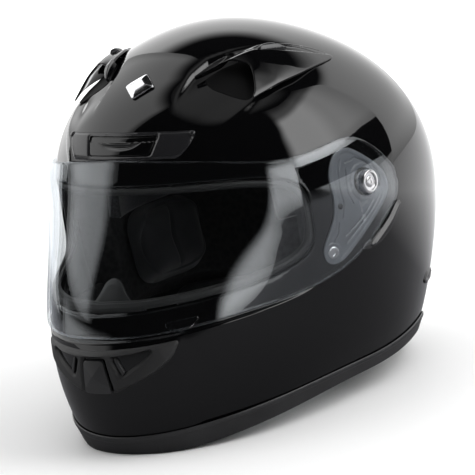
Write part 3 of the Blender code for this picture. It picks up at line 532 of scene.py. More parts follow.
def finish(name, colour, roughness, metallic=0.0, grain=1.0, depth=0.0, vary=0.0,
           tint=0.0, cells=False, weave=None, **fixed):
    """Principled shader on Object coordinates. A noise with grains of `grain` mm raises
    a bump of `depth` mm, a broader one moves the roughness by +-vary and the colour by
    +-tint. cells makes the bump of packed beads. weave adds ribs from the piece's own
    texture places: (threads along, threads across)."""
    mat, tree = new_material(name)
    link = tree.links.new
    shader = tree.nodes["Principled BSDF"]
    fixed.update(Roughness=roughness, Metallic=metallic)
    shader.inputs["Base Color"].default_value = (*colour, 1)
    for key, value in fixed.items():
        shader.inputs[key.replace("_", " ")].default_value = value
    spot = coordinates(tree, "Object")
    fine = add_node(tree, "TexVoronoi" if cells else "TexNoise", Scale=1000.0 / grain)
    if not cells:
        fine.inputs["Detail"].default_value = 3.0
    link(spot, fine.inputs["Vector"])
    height = fine.outputs["Distance" if cells else "Fac"]
    if weave:
        uv = coordinates(tree, "UV")
        ribs = []
        for axis, threads in zip("XY", weave):
            wave = add_node(tree, "TexWave", Scale=threads, Distortion=0.0, bands_direction=axis)
            link(uv, wave.inputs["Vector"])
            ribs.append(wave.outputs["Fac"])
        add = add_node(tree, "Math", operation="MULTIPLY_ADD")
        link(height, add.inputs[0])
        add.inputs[1].default_value = 0.25
        link(times(tree, *ribs), add.inputs[2])
        height = add.outputs[0]
    if depth:
        bump = add_node(tree, "Bump", Distance=depth * MM, Strength=1.0, invert=cells)
        link(height, bump.inputs["Height"])
        link(bump.outputs["Normal"], shader.inputs["Normal"])
    broad = add_node(tree, "TexNoise", Scale=38.0, Detail=4.0)
    link(spot, broad.inputs["Vector"])
    if vary:
        spread = add_node(tree, "MapRange", To_Min=max(roughness - vary, 0.02),
                          To_Max=roughness + vary)
        link(broad.outputs["Fac"], spread.inputs["Value"])
        link(spread.outputs["Result"], shader.inputs["Roughness"])
    if tint:
        ramp = add_node(tree, "ValToRGB")
        for stop, place_at, gain in zip(ramp.color_ramp.elements, (0.3, 0.7), (-tint, tint)):
            stop.position = place_at
            stop.color = (*[min(c * (1 + gain), 1) for c in colour], 1)
        link((fine if cells or weave else broad).outputs[0], ramp.inputs["Fac"])
        link(ramp.outputs["Color"], shader.inputs["Base Color"])
    return mat


def clear_finish(name, tint, haze):
    """Clear moulded sheet: mostly see-through, with a Fresnel gloss on both faces. The
    index is turned over on inward faces, so that they reflect as the outward ones do."""
    mat = finish(name, tint, haze, grain=14.0, depth=0.02, IOR=1.5, Alpha=1.0)
    tree = mat.node_tree
    link = tree.links.new
    bump = tree.nodes["Principled BSDF"].inputs["Normal"].links[0].from_socket
    clear = add_node(tree, "BsdfTransparent", Color=(0.95, 0.96, 0.965, 1))
    gloss = add_node(tree, "BsdfGlossy", Roughness=haze, Color=(0.94, 0.97, 1.0, 1))
    facing = add_node(tree, "NewGeometry")
    index = add_node(tree, "MapRange", To_Min=1.5, To_Max=1 / 1.5)
    fresnel = add_node(tree, "Fresnel")
    mix = add_node(tree, "MixShader")
    link(facing.outputs["Backfacing"], index.inputs["Value"])
    link(index.outputs["Result"], fresnel.inputs["IOR"])
    link(bump, gloss.inputs["Normal"])
    link(fresnel.outputs["Fac"], mix.inputs["Fac"])
    link(clear.outputs["BSDF"], mix.inputs[1])
    link(gloss.outputs["BSDF"], mix.inputs[2])
    link(mix.outputs["Shader"], tree.nodes["Material Output"].inputs["Surface"])
    return mat


lacquer = finish("gloss_lacquer", (0.0012, 0.0012, 0.0014), 0.035, grain=9.0, depth=0.004,
                 vary=0.008, IOR=1.5)
smooth_black = finish("smooth_moulding", (0.010, 0.010, 0.011), 0.16, grain=0.8, depth=0.006,
                      vary=0.05)
satin = finish("satin_moulding", (0.016, 0.016, 0.017), 0.36, grain=0.5, depth=0.012, vary=0.06,
               tint=0.15)
matte = finish("textured_moulding", (0.014, 0.014, 0.0145), 0.50, grain=0.45, depth=0.030,
               vary=0.06, tint=0.2)
trim_skin = finish("edge_trim_skin", (0.018, 0.018, 0.019), 0.42, grain=0.6, depth=0.015,
                   vary=0.05, tint=0.2)
rubber = finish("seal_rubber", (0.012, 0.012, 0.012), 0.62, grain=0.7, depth=0.02, vary=0.08)
# near-black, weakly reflecting finish: painted shade for the dark opening of each crown duct, laid on
# the shell as a sheet
painted_duct_shade = finish("painted_duct_shade", (0.0015, 0.0015, 0.0016), 0.7, grain=0.6, depth=0.02,
                    vary=0.08, Specular_IOR_Level=0.15)
foam = finish("bead_foam", (0.024, 0.024, 0.025), 0.85, grain=4.2, depth=0.30, cells=True,
              tint=0.25)
knit = finish("brushed_knit", (0.040, 0.041, 0.045), 0.92, grain=0.55, depth=0.10, tint=0.3,
              Sheen_Weight=0.35, Sheen_Roughness=0.5)
mesh_cloth = finish("comfort_cloth", (0.028, 0.029, 0.032), 0.9, grain=1.3, depth=0.16,
                    cells=True, tint=0.4, Sheen_Weight=0.3, Sheen_Roughness=0.5)
piping = finish("seam_piping", (0.030, 0.030, 0.033), 0.7, grain=0.6, depth=0.05, vary=0.1)
webbing = finish("strap_webbing", (0.016, 0.016, 0.017), 0.72, grain=0.5, depth=0.22,
                 weave=(60.0, 46.0), tint=0.3, Sheen_Weight=0.15)
chrome = finish("polished_chrome", (0.78, 0.78, 0.80), 0.07, 1.0, grain=4.0, depth=0.004,
                vary=0.03)
steel = finish("bright_steel", (0.66, 0.66, 0.67), 0.20, 1.0, grain=0.35, depth=0.004,
               vary=0.06)
smoke = finish("smoke_moulding", (0.085, 0.090, 0.100), 0.26, grain=1.6, depth=0.003, vary=0.05,
               tint=0.12)
clear = clear_finish("clear_shield", (0.9, 0.93, 0.96), 0.012)


# ---- shell, trim and seals ----------------------------------------------------------
def port_level(margin):
    """Below 0 inside the eye port, a superellipse of the fourth power in theta, phi."""
    def level(theta, phi):
        x = theta / (PORT_WIDTH + margin)
        y = (phi - PORT_PHI) / (PORT_HEIGHT + margin)
        return ((x**4 + y**4)**0.25 - 1) * PORT_HEIGHT
    return level


def port_ring(count, margin):
    """Edge of the eye port, grown by a margin in radians, as theta and phi."""
    turn = np.arange(count) * 2 * np.pi / count
    c, s = np.cos(turn), np.sin(turn)
    return ((PORT_WIDTH + margin) * np.sign(c) * np.sqrt(np.abs(c)),
            PORT_PHI - (PORT_HEIGHT + margin) * np.sign(s) * np.sqrt(np.abs(s)))


def make_shell():
    """Lacquered shell: theta lines close together in front, and phi rows that follow
    the shield's seat, pulled in and out by skin() and cut open at the eye port."""
    front = np.arange(-70, 70.1, 0.8)
    theta = np.radians(np.concatenate([np.arange(-180, -70, 1.6), front,
                                       np.arange(71.5, 179.3, 1.6)]))
    top = shield_line(SHIELD_TOP, theta) - math.radians(1.0)
    bottom = shield_line(SHIELD_BOTTOM, theta) + math.radians(0.65)
    rim = rim_phi(theta) - math.radians(1.9)
    edge = math.radians(0.95)
    spans = [(0 * top, top, 66, False), (top, top + edge, 7, True),
             (top + edge, bottom, 32, True), (bottom, bottom + edge, 7, True),
             (bottom + edge, rim, 22, True)]
    rows = []
    for near, far, count, skip in spans:
        share = np.linspace(0, 1, count + 1)[1 if skip else 0:]
        rows.append(near[:, None] + (far - near)[:, None] * share)
    phi = np.concatenate(rows, 1)
    theta = theta[:, None] + 0 * phi
    hole = port_level(0.007)
    theta, phi, keep = trimmed(theta, phi, lambda t, p: -hole(t, p), wrap=True)
    lift = skin(theta, phi)
    mesh = plate_mesh("lacquered_shell", on_shell(theta, phi, lift),
                      on_shell(theta, phi, lift - SHELL_THICKNESS), keep, wrap=True,
                      pole=True, lip=1.3 * MM)
    place("lacquered_shell", mesh, lacquer, "helmet", "outer_shell")


def rounded_section(corners, radius_m, steps=4):
    """Section polygon [k, 2] with each corner rounded by a quadratic arc."""
    corners = np.asarray(corners, float)
    before, after = np.roll(corners, 1, 0) - corners, np.roll(corners, -1, 0) - corners
    lb, la = np.linalg.norm(before, axis=1), np.linalg.norm(after, axis=1)
    cut = np.minimum(radius_m, 0.45 * np.minimum(la, lb))[:, None]
    first, last = corners + before / lb[:, None] * cut, corners + after / la[:, None] * cut
    t = np.linspace(0, 1, steps)[None, :, None]
    arc = first[:, None] * (1 - t)**2 + 2 * corners[:, None] * t * (1 - t) + last[:, None] * t**2
    return arc.reshape(-1, 2)


def make_trim():
    """Channel moulding round the bottom rim: a rounded outer wall with a bead along its
    upper edge, a flat underside and an inner lip, carried round the rim line."""
    theta = np.radians(np.arange(-180, 180, 1.0))
    rim = rim_phi(theta)
    deg = math.radians(1)
    section = rounded_section([(-3.9, 1.7), (-3.1, 2.2), (-2.7, 1.75), (0.6, 1.75), (0.6, -7.4),
                               (-3.9, -7.4), (-3.9, -5.6), (-1.0, -5.6), (-1.0, 0.45),
                               (-3.9, 0.45)], 0.45, 5)
    phi = rim[:, None] + section[None, :, 0] * deg
    points = on_shell(theta[:, None], phi, section[None, :, 1] * MM)
    points[..., 2] = np.maximum(points[..., 2], 0.0)
    place("edge_trim", swept_mesh("edge_trim", points), trim_skin, "helmet",
          "bottom_edge_trim")


def make_gasket():
    """Rubber seal round the eye port: a lip that leans out, with two shallow ribs."""
    profile = rounded_section([(-0.012, -9.2), (-0.040, -9.2), (-0.040, -7.2), (-0.033, -6.6),
                               (-0.040, -6.0), (-0.038, -4.0), (-0.026, -3.0),
                               (-0.012, -3.4)], 0.003, 4)
    rings = [port_ring(240, margin) for margin in profile[:, 0]]
    points = np.stack([on_shell(t, p, off * MM) for (t, p), off in zip(rings, profile[:, 1])], 1)
    place("port_gasket", swept_mesh("port_gasket", points), rubber, "helmet",
          "eye_port_gasket")


# ---- foam and padding ---------------------------------------------------------------
FOAM_OUT, FOAM_IN, CHIN_FOAM_IN = -9.0 * MM, -35.0 * MM, -25.7 * MM
# middle and half size of a cheek pad in theta, then in phi, in degrees
CHEEK = (95.0, 22.5, 102.5, 16.2)


def corner_level(theta_mid, theta_half, phi_mid, phi_half, power=5):
    """Below 0 inside a block with rounded corners in theta, phi (degrees)."""
    tm, th, pm, ph = np.radians([theta_mid, theta_half, phi_mid, phi_half])

    def level(theta, phi):
        return ((np.abs((theta - tm) / th)**power + np.abs((phi - pm) / ph)**power)
                ** (1 / power) - 1) * min(th, ph)
    return level


def cap_grid(edge_deg, step):
    """Theta, phi grid from the crown down to edge_deg, in cells of about step degrees."""
    theta = np.radians(np.arange(-180, 180, step))[:, None]
    phi = np.radians(np.linspace(0, edge_deg, int(edge_deg / step * 1.1)))[None, :] + 0 * theta
    return theta + 0 * phi, phi


def make_liner():
    """Moulded foam bowl with the brow cut out, shallow channels running front to back
    on its inside, and a separate chin bar foam."""
    theta, phi = cap_grid(119.6, 1.6)
    brow = corner_level(0, 64.6, 96, 34.6, 8)
    theta, phi, keep = trimmed(theta, phi, lambda t, p: -brow(t, p), wrap=True)
    lane = np.abs(np.sin(3 * theta)) * np.sin(np.minimum(phi, np.pi / 2))
    inner = FOAM_IN + 2.0 * MM * smooth_step((0.25 - lane) / 0.2) * smooth_step(phi / 0.5)
    mesh = plate_mesh("foam_bowl", on_shell(theta, phi, FOAM_OUT), on_shell(theta, phi, inner),
                      keep, wrap=True, pole=True, lip=3.0 * MM, turns=4)
    place("foam_bowl", mesh, foam, "helmet", "eps_liner")
    theta = np.radians(np.linspace(-60, 60, 150))[:, None]
    phi = np.radians(np.linspace(105, 123, 24))[None, :] + 0 * theta
    theta, phi, keep = trimmed(theta + 0 * phi, phi, corner_level(0, 57.4, 114, 6.6, 8))
    mesh = plate_mesh("chin_foam", on_shell(theta, phi, FOAM_OUT),
                      on_shell(theta, phi, CHIN_FOAM_IN), keep, lip=2.2 * MM)
    place("chin_foam", mesh, foam, "helmet", "chin_eps")


def make_pads():
    """Cushions crowned away from the foam. The face swells by (1 - x^4)(1 - y^4), drops
    to a line along each sewn channel, and a piping runs round each cheek pad."""
    theta, phi = cap_grid(81.6, 1.5)
    brow = corner_level(0, 57.4, 90, 34.6, 8)
    theta, phi, keep = trimmed(theta, phi, lambda t, p: -brow(t, p), wrap=True)
    seams = np.minimum(np.abs(np.sin(2.5 * (theta - np.pi))) * np.sin(phi) * 1.6,
                       np.abs(phi - 0.62) * 2.2)
    puff = 1 - np.exp(-(seams / 0.16)**2)
    mesh = plate_mesh("crown_pad_cloth", on_shell(theta, phi, -37.7 * MM),
                      on_shell(theta, phi, (-42.2 - 3.9 * puff) * MM), keep,
                      wrap=True, pole=True, lip=2.0 * MM, turns=5)
    place("crown_pad_cloth", mesh, mesh_cloth, "helmet",
                    "crown_pad")
    for name, sign in (("left", 1), ("right", -1)):
        t, p = np.meshgrid(np.linspace(70, 120, 84), np.linspace(84, 121, 62), indexing="ij")
        edge = corner_level(*CHEEK, 4)
        t, p, keep = trimmed(np.radians(t), np.radians(p), edge)
        x, y = (np.degrees(t) - CHEEK[0]) / CHEEK[1], (np.degrees(p) - CHEEK[2]) / CHEEK[3]
        swell = np.clip(1 - x**4, 0, 1) * np.clip(1 - y**4, 0, 1)
        channel = np.minimum(np.abs(x + 0.15 - 0.35 * y**2), 1.0)
        drop = np.exp(-(channel / 0.045)**2) * smooth_step(swell / 0.4)
        face = -(46.0 + 12.0 * swell**0.5 - 3.0 * drop) * MM
        mesh = plate_mesh(name + "_cheek_cushion", on_shell(sign * t, p, -37.9 * MM),
                          on_shell(sign * t, p, face), keep, lip=2.4 * MM, turns=5)
        place(name + "_cheek_cushion", mesh, knit, "helmet",
                        name + "_cheek_pad")
        turn = np.radians(np.arange(0, 360, 2.0))
        c, s = np.cos(turn), np.sin(turn)
        rt = np.radians(CHEEK[0] + (CHEEK[1] - 0.1) * np.sign(c) * np.sqrt(np.abs(c)))
        rp = np.radians(CHEEK[2] + (CHEEK[3] - 0.1) * np.sign(s) * np.sqrt(np.abs(s)))
        line = on_shell(sign * rt, rp, -44.0 * MM)
        place(name + "_cheek_piping", cord_mesh(name + "_cheek_piping", line, 1.1 * MM),
              piping, "helmet")
    theta = np.radians(np.linspace(104.5, 255.5, 180))
    ends = np.clip(np.minimum(theta - theta[0], theta[-1] - theta) / math.radians(7), 0, 1)
    girth = np.sqrt(np.clip(1 - (1 - ends)**2, 0.002, 1))[:, None]
    turn = np.arange(28) * 2 * np.pi / 28
    c, s = np.cos(turn)[None], np.sin(turn)[None]
    stitch = 1 - 0.10 * np.exp(-((np.abs(np.sin(turn / 2)) - 0.05) / 0.06)**2)[None]
    gather = 1 + 0.02 * np.sin(theta * 60)[:, None] * np.clip(-s, 0, 1)
    phi = np.radians(126.5 + 4.3 * s * girth * stitch)
    offset = (-19.0 + 10.6 * np.sign(c) * np.abs(c)**0.8 * girth * stitch * gather) * MM
    mesh = swept_mesh("neck_roll_cloth", on_shell(theta[:, None] + 0 * phi, phi, offset), False)
    place("neck_roll_cloth", mesh, knit, "helmet", "neck_roll")


def cord_mesh(name, line, r, sides=10):
    """Closed round tube along a ring of points."""
    along = np.roll(line, -1, 0) - np.roll(line, 1, 0)
    along /= np.linalg.norm(along, axis=1, keepdims=True)
    out = line - CENTRE
    out -= (out * along).sum(1, keepdims=True) * along
    out /= np.linalg.norm(out, axis=1, keepdims=True)
    across = np.cross(along, out)
    turn = np.arange(sides) * 2 * np.pi / sides
    return swept_mesh(name, line[:, None] + r * (np.cos(turn)[None, :, None] * out[:, None]
                                                  + np.sin(turn)[None, :, None] * across[:, None]))


def make_curtain():
    """Cloth wind curtain stretched across under the chin, from the rim inwards."""
    theta = np.radians(np.linspace(-55.5, 55.5, 150))[:, None]
    reach = np.linspace(0, 1, 26)[None, :]
    sag = 0.35 * np.sin(np.pi * reach) + 0.10 * np.sin(theta * 22) * reach
    phi = np.radians(123.6 + sag)
    theta = theta + 0 * phi
    offset = (-11.0 - 32.0 * reach) * MM + 0 * phi
    up = np.radians(0.32)
    uv = np.stack([theta * 0.17, offset], -1)
    mesh = plate_mesh("chin_curtain_cloth", on_shell(theta, phi - up, offset),
                      on_shell(theta, phi + up, offset), lip=0.45 * MM, uv=uv)
    obj = place("chin_curtain_cloth", mesh, mesh_cloth, "helmet", "chin_curtain")
    middle = on_shell(theta, phi, offset)


def make_deflector():
    """Thin nose guard with a rounded peak that stands up inside the chin."""
    anchor = on_shell(0, math.radians(98.0))
    outline = rounded_outline([(0, 18), (8, 15), (15, 4), (30, -9), (44, -14), (44, -20),
                               (-44, -20), (-44, -14), (-30, -9), (-15, 4), (-8, 15)], 7)
    mesh = local_plate("nose_guard", local_map(anchor), outline,
                       lambda a, b, d: -20.0 * MM + 0.7 * MM * smooth_step(d / (3 * MM)),
                       -21.4 * MM, 0.9 * MM, lip=0.6 * MM)
    place("nose_guard", mesh, matte, "helmet", "breath_deflector")


# ---- vents --------------------------------------------------------------------------
def lifted(at):
    """The same map with offsets counted from the lacquered surface, not the smooth one."""
    def on(a, b, offset):
        bare = at(a, b, 0 * np.asarray(a)) - CENTRE
        bare = bare / np.linalg.norm(bare, axis=-1, keepdims=True)
        theta = np.arctan2(bare[..., 0], -bare[..., 1])
        return at(a, b, offset + skin(theta, np.arccos(bare[..., 2])))
    return on


def scoop_height(a, b):
    """Height of a crown scoop's top face: it climbs steeply from its inner edge to a
    ridge a fifth of the way over, falls in a soft curve to its outer edge, and the whole
    runs out towards the tail. The slider's channel is sunk into the inner slope."""
    inner = np.interp(a, SCOOP_IN[:, 0], SCOOP_IN[:, 1])
    outer = np.interp(a, SCOOP_OUT[:, 0], SCOOP_OUT[:, 1])
    t = np.clip((inner - b) / np.maximum(inner - outer, 2 * MM), 0, 1)
    ridge = 0.20
    climb = smooth_step(t / ridge)**0.8
    fall = np.clip((1 - t) / (1 - ridge), 0, 1)**0.75
    run = smooth_step((44 * MM - a) / (88 * MM))
    low = 1.0 * MM * smooth_step((-20 * MM - a) / (16 * MM)) * smooth_step((t - 0.5) / 0.4)
    return 1.7 * MM - low + 5.2 * MM * run * np.where(t < ridge, climb, fall)


# outline of the sunk channel that a scoop's slider runs in, in mm
SLIDE_CHANNEL = [(-25, 4.6), (-14, 6.6), (-3, 5.8), (12, -0.6), (26, -8.2), (37, -16),
                 (12, -10.4), (-8.6, -3.0)]


def make_top_vents():
    """Each scoop is a thin raised sheet with a concave mouth, over a near-black sheet that paints
    the shade of the duct's opening, with a teardrop slider in the channel on its inner slope."""
    rim = rounded_outline([(-46.5, 9.2), (-30, 8.4), (-9, 8.8), (12.8, 1), (28.8, -8.3),
                           (41.6, -18.6), (25.9, -23.6), (-2.4, -29.2), (-26.3, -31.5),
                           (-43.0, -32.8), (-49.5, -33.4), (-43.0, -29.8), (-38.5, -24),
                           (-33, -14), (-31.4, -8), (-36, -2)], 4.5)
    duct = rounded_outline([(-62, 8.5), (-44, 8.6), (-24, 5), (-18, -8), (-24, -24), (-42, -29),
                            (-50, -31), (-57, -19), (-64, -3)], 6)
    prong = rounded_outline([(-74, 13.2), (-60, 11.6), (-44, 10.6), (-34, 9.4), (-45, 6.2),
                             (-60, 9.0)], 3)
    channel = outline_level(closed_curve(SLIDE_CHANNEL, 80) * MM, False)
    knob = rounded_outline([(-17, 1.0), (-12, 4.2), (-4, 3.2), (3.5, -2.8), (5.5, -5.0),
                            (1, -4.8), (-9, -3.2), (-16, -1.6)], 3.4)

    def sunk(a, b):
        return 1.6 * MM * smooth_step(-channel(a, b) / (1.6 * MM))

    for name, sign in (("left", 1), ("right", -1)):
        at = local_map(TOP_VENT, sign)
        mesh = local_plate(name + "_scoop", at, rim,
                           lambda a, b, d: scoop_height(a, b) - sunk(a, b),
                           lambda a, b, d: np.maximum(scoop_height(a, b) - sunk(a, b)
                                                      - 1.7 * MM, 0.1 * MM),
                           0.75 * MM, lip=0.55 * MM)
        place(name + "_scoop", mesh, lacquer, "helmet", name + "_top_vent_cover")
        # near-black sheet on the shell under each scoop's mouth: painted shade standing in for the
        # shaded duct opening
        lay = lifted(local_map(TOP_VENT))
        mesh = local_plate(name + "_duct_shade_sheet", lambda a, b, h: lay(a, b, h) * [sign, 1, 1],
                           duct, 0.3 * MM, -1.6 * MM, 1.2 * MM, lip=0.4 * MM)
        place(name + "_duct_shade_sheet", mesh, painted_duct_shade, "helmet")
        mesh = local_plate(name + "_scoop_prong", at, prong,
                           lambda a, b, d: 1.0 * MM + 2.4 * MM * smooth_step((a + 76 * MM) / (34 * MM)),
                           -2.0 * MM, 0.6 * MM, lip=0.5 * MM)
        place(name + "_scoop_prong", mesh, lacquer, "helmet")

        def dome(a, b, d):
            return scoop_height(a, b) + 0.3 * MM + 1.9 * MM * smooth_step(d / (2.6 * MM))**0.6

        mesh = local_plate(name + "_vent_knob", at, knob, dome,
                           lambda a, b, d: scoop_height(a, b) - 1.0 * MM, 0.4 * MM,
                           lip=0.4 * MM)
        place(name + "_vent_knob", mesh, smooth_black, name + "_slider",
              name + "_top_vent_slider")


def make_forehead_vent():
    """Frame above the shield with a sliding plate in it; the plate has a crescent finger
    hollow under a lip, and a round peg sits at each upper corner of the frame."""
    anchor = on_shell(0, math.radians(54.8))
    at = local_map(anchor)
    frame_edge = rounded_outline(both_sides([(0, 8.6), (24, 10.0), (44, 12.6), (62, 16.6),
                                             (57.5, 3.0), (50, -6.8), (26, -9.6),
                                             (0, -10.9)]), 4)
    window = rounded_outline(both_sides([(0, 6.2), (18, 7.0), (31.6, 8.6), (27.8, -7.0),
                                         (14, -8.0), (0, -8.3)]), 2.4)
    plate_edge = rounded_outline(both_sides([(0, 5.4), (18, 6.2), (30.6, 7.8), (27.2, -6.4),
                                             (14, -7.3), (0, -7.6)]), 2.2)

    def ridge(a, b, d):
        return (-0.4 + 0.9 * smooth_step(d / (2.2 * MM))) * MM

    def under(a, b, d):
        """Underside of the frame, hollow above the window so that the plate fits in."""
        sill = 1.5 * MM + 2.4 * MM * (a / (31.6 * MM))**2
        return (-2.0 + 1.85 * smooth_step((b - sill) / (1.5 * MM))) * MM

    mesh = local_plate("brow_vent_frame", at, frame_edge, ridge, under, 0.8 * MM, [window],
                       lip=0.18 * MM)
    place("brow_vent_frame", mesh, smooth_black, "helmet",
          "forehead_vent_housing")
    hollow = outline_level(rounded_outline([(-22, 3.2), (-11, 1.4), (0, 0.9), (11, 1.4),
                                            (22, 3.2), (12, -3.4), (0, -4.6), (-12, -3.4)], 5),
                           False)

    def plate(a, b, d):
        dip = smooth_step(-hollow(a, b) / (2.6 * MM))
        brow = np.exp(-((b - 2.2 * MM - 2.2 * (a / MM / 22)**2 * MM) / (0.9 * MM))**2)
        tongue = smooth_step((b - 1.2 * MM - 2.4 * MM * (a / (31 * MM))**2) / (0.7 * MM))
        face = 0.1 + 0.35 * brow * (np.abs(a) < 22 * MM) - 1.2 * dip
        return (face * (1 - tongue) - 0.95 * tongue) * MM

    mesh = local_plate("brow_vent_plate", at, plate_edge, plate, -1.9 * MM, 0.5 * MM,
                       lip=0.35 * MM)
    place("brow_vent_plate", mesh, lacquer, "forehead_shutter",
          "forehead_vent_shutter")
    for name, sign in (("left", 1), ("right", -1)):
        seat = at(sign * 58.5 * MM, 13.6 * MM, 0.3 * MM)
        mesh = turned_mesh(name + "_frame_peg", seat, seat - CENTRE,
                           [(0, -1.5), (1.9, -1.5), (2.0, 0.1), (1.7, 0.7), (1.0, 1.05),
                            (0, 1.15)], 32)
        place(name + "_frame_peg", mesh, smooth_black, "helmet")


def make_chin_vent():
    """Chin intake: a bowed housing with a lip along its top, two triangular inlets and a
    pyramid push face in a trapezoid slot."""
    at = local_map(on_shell(0, math.radians(109.0)))
    rim = rounded_outline(both_sides([(0, 13.4), (24, 13.0), (46, 11.6), (69, 9.2), (60, -1.5),
                                      (46, -7.5), (28, -11.5), (14, -15.2), (0, -16.0)]), 5)
    slot = rounded_outline([(-9, 8.6), (9, 8.6), (12.6, -14.8), (-12.6, -14.8)], 2.5)
    inlets = [rounded_outline([(s * x, y) for x, y in ((15.5, 8.2), (47, 8.6), (40, 4.0),
                                                       (20.5, -3.6))], 3) for s in (1, -1)]
    push = rounded_outline([(-8.3, 7.8), (8.3, 7.8), (11.6, -13.9), (-11.6, -13.9)], 2.2)

    def housing(a, b, d):
        brim = smooth_step((b - 8.2 * MM) / (2.4 * MM))
        wing = smooth_step((np.abs(a) - 52 * MM) / (14 * MM))
        return (0.9 + 1.9 * smooth_step(d / (2.0 * MM)) * (1 - 0.7 * wing) + 0.8 * brim) * MM

    mesh = local_plate("chin_vent_body", at, rim, housing, -1.0 * MM, 0.75 * MM,
                       [slot] + inlets, lip=0.45 * MM)
    place("chin_vent_body", mesh, matte, "helmet", "chin_vent_housing")
    for k, inlet in enumerate(inlets):
        mesh = local_plate("chin_inlet_floor_%d" % (k + 1), at, inlet * 1.04, -0.2 * MM,
                           -1.2 * MM, 1.0 * MM, lip=0.3 * MM)
        place("chin_inlet_floor_%d" % (k + 1), mesh, rubber, "helmet")
    for name, s in (("right_inlet_rib", -1), ("left_inlet_rib", 1)):
        rib = rounded_outline([(s * 17.5, 8.6), (s * 19.6, 8.6), (s * 24.2, -2.2),
                               (s * 22.0, -3.6)], 0.8)
        mesh = local_plate(name, at, rib, 2.0 * MM, -0.3 * MM, 0.35 * MM, lip=0.3 * MM)
        place(name, mesh, satin, "helmet")

    def pyramid(a, b, d):
        x = np.abs(a) / (10.0 * MM)
        y = np.abs(b + 1.0 * MM) / (9.0 * MM)
        peak = np.clip(1 - np.maximum(x, y), 0, 1)
        return (2.6 + 2.5 * peak) * MM

    mesh = local_plate("chin_vent_push_face", at, push, pyramid, 0.6 * MM, 0.4 * MM,
                       lip=0.35 * MM)
    place("chin_vent_push_face", mesh, satin, "chin_button", "chin_vent_button")


def make_rear_vents():
    """Exhaust spoiler high at the back with two dark slots, and a slit outlet low on
    each flank."""
    at = local_map(on_shell(math.pi, math.radians(62)))
    rim = rounded_outline(both_sides([(0, 14), (22, 12), (44, 4.5), (46, -5.5), (23, -9),
                                      (0, -10)]), 6)
    slots = [rounded_outline([(s * x, y) for x, y in ((9, -2), (20, 1.6), (34, 0), (34, -4.6),
                                                      (20, -3.6), (9, -6))], 2)
             for s in (1, -1)]

    def hood(a, b, d):
        lean = smooth_step((14 * MM - b) / (20 * MM))
        return (1.4 + 3.4 * lean * smooth_step(d / (4 * MM)) * (1 - (a / (52 * MM))**2)) * MM

    mesh = local_plate("rear_spoiler", at, rim, hood, -0.4 * MM, 0.9 * MM, slots,
                       lip=0.5 * MM)
    place("rear_spoiler", mesh, satin, "helmet", "rear_exhaust_cover")
    anchor = on_shell(math.radians(131), math.radians(117.5))
    edge = rounded_outline([(-17, -2), (-8, 3.6), (10, 4.8), (18, 2), (9, -4), (-9, -5)], 5)
    slit = rounded_outline([(-12, -1.2), (0, 1.4), (13, 2.2), (0, -1.6)], 2)
    for name, sign in (("left", 1), ("right", -1)):
        at = local_map(anchor, sign)
        mesh = local_plate(name + "_flank_outlet", at, edge,
                           lambda a, b, d: (0.9 + 1.6 * smooth_step(d / (3 * MM))) * MM,
                           -0.3 * MM, 0.6 * MM, [slit], lip=0.4 * MM)
        place(name + "_flank_outlet", mesh, satin, "helmet",
              name + "_rear_outlet")


def make_badge():
    """Plain lozenge with a bevelled face, four facets rising to its middle."""
    at = local_map(on_shell(0, math.radians(36)))
    edge = rounded_outline([(-13, 0), (0, 12), (13, 0), (0, -12)], 2.5)
    mesh = local_plate("brow_badge", at, edge,
                       lambda a, b, d: (0.5 + 0.26 * np.minimum(d / MM, 5.0)) * MM, -0.6 * MM,
                       0.35 * MM, lip=0.3 * MM)
    place("brow_badge", mesh, chrome, "helmet", "front_badge")


# ---- shield and its mechanism -------------------------------------------------------
def shield_offset(theta, down):
    """Outer face of the shield: near flush low in front, proud over the pods and at its
    top edge (down = 0, and 1 at its low edge)."""
    turn = np.abs(np.degrees(theta))
    brow = (1 - smooth_step(down / 0.55)) * (1 - smooth_step((turn - 42) / 26))
    return (1.0 + 4.0 * smooth_step((turn - 30) / 38)) * MM + BROW_STAND * brow


def make_shield():
    """Clear curved sheet between its two edge lines, with a round hole over each pivot.
    The grid runs pod to pod (s) and top to bottom (t)."""
    s, t = np.meshgrid(np.linspace(-1, 1, 341), np.linspace(0, 1, 66), indexing="ij")

    def spot(s, t):
        turn = np.clip(np.abs(s), 0, 1)
        top = np.radians(open_curve(SHIELD_TOP, turn))
        bottom = np.radians(open_curve(SHIELD_BOTTOM, turn))
        theta = top[..., 0] + (bottom[..., 0] - top[..., 0]) * t
        phi = top[..., 1] + (bottom[..., 1] - top[..., 1]) * t
        return theta * np.where(s < 0, -1, 1), phi, shield_offset(theta, t)

    def hole(s, t):
        theta, phi, off = spot(s, t)
        p = on_shell(theta, phi, off)
        return SHIELD_HOLE + 0.5 * MM - np.hypot(p[..., 1] - PIVOT[1], p[..., 2] - PIVOT[2])

    keep = hole(corner_mean(s, False), corner_mean(t, False)) < 0
    edge = border_points(keep, s.shape)
    span = 1 / 0.24**2, 1 / 0.05**2            # the sheet is about five times as long as high
    s[edge], t[edge] = settled(hole, s[edge], t[edge], 1e-4, span, steps=6)
    theta, phi, off = spot(s, t)
    mesh = plate_mesh("clear_shield_sheet", on_shell(theta, phi, off),
                      on_shell(theta, phi, off - SHIELD_THICKNESS), keep, lip=0.6 * MM, turns=4)
    place("clear_shield_sheet", mesh, clear, "shield", "face_shield")
    theta, down = np.meshgrid(np.radians(np.linspace(18.3, 25.8, 40)), np.linspace(0, 1, 24),
                              indexing="ij")
    swell = np.sin(np.pi * np.linspace(0, 1, 40))[:, None]**0.7
    phi = np.radians(101.0 + 1.9 * down * (0.35 + 0.65 * swell))
    low = shield_offset(theta, 1.0) + 0.1 * MM
    rise = (0.8 + 3.0 * swell * smooth_step(down)) * MM
    mesh = plate_mesh("lift_tab", on_shell(theta, phi, low + rise), on_shell(theta, phi, low),
                      lip=0.3 * MM)
    place("lift_tab", mesh, clear, "shield", "shield_lift_tab")


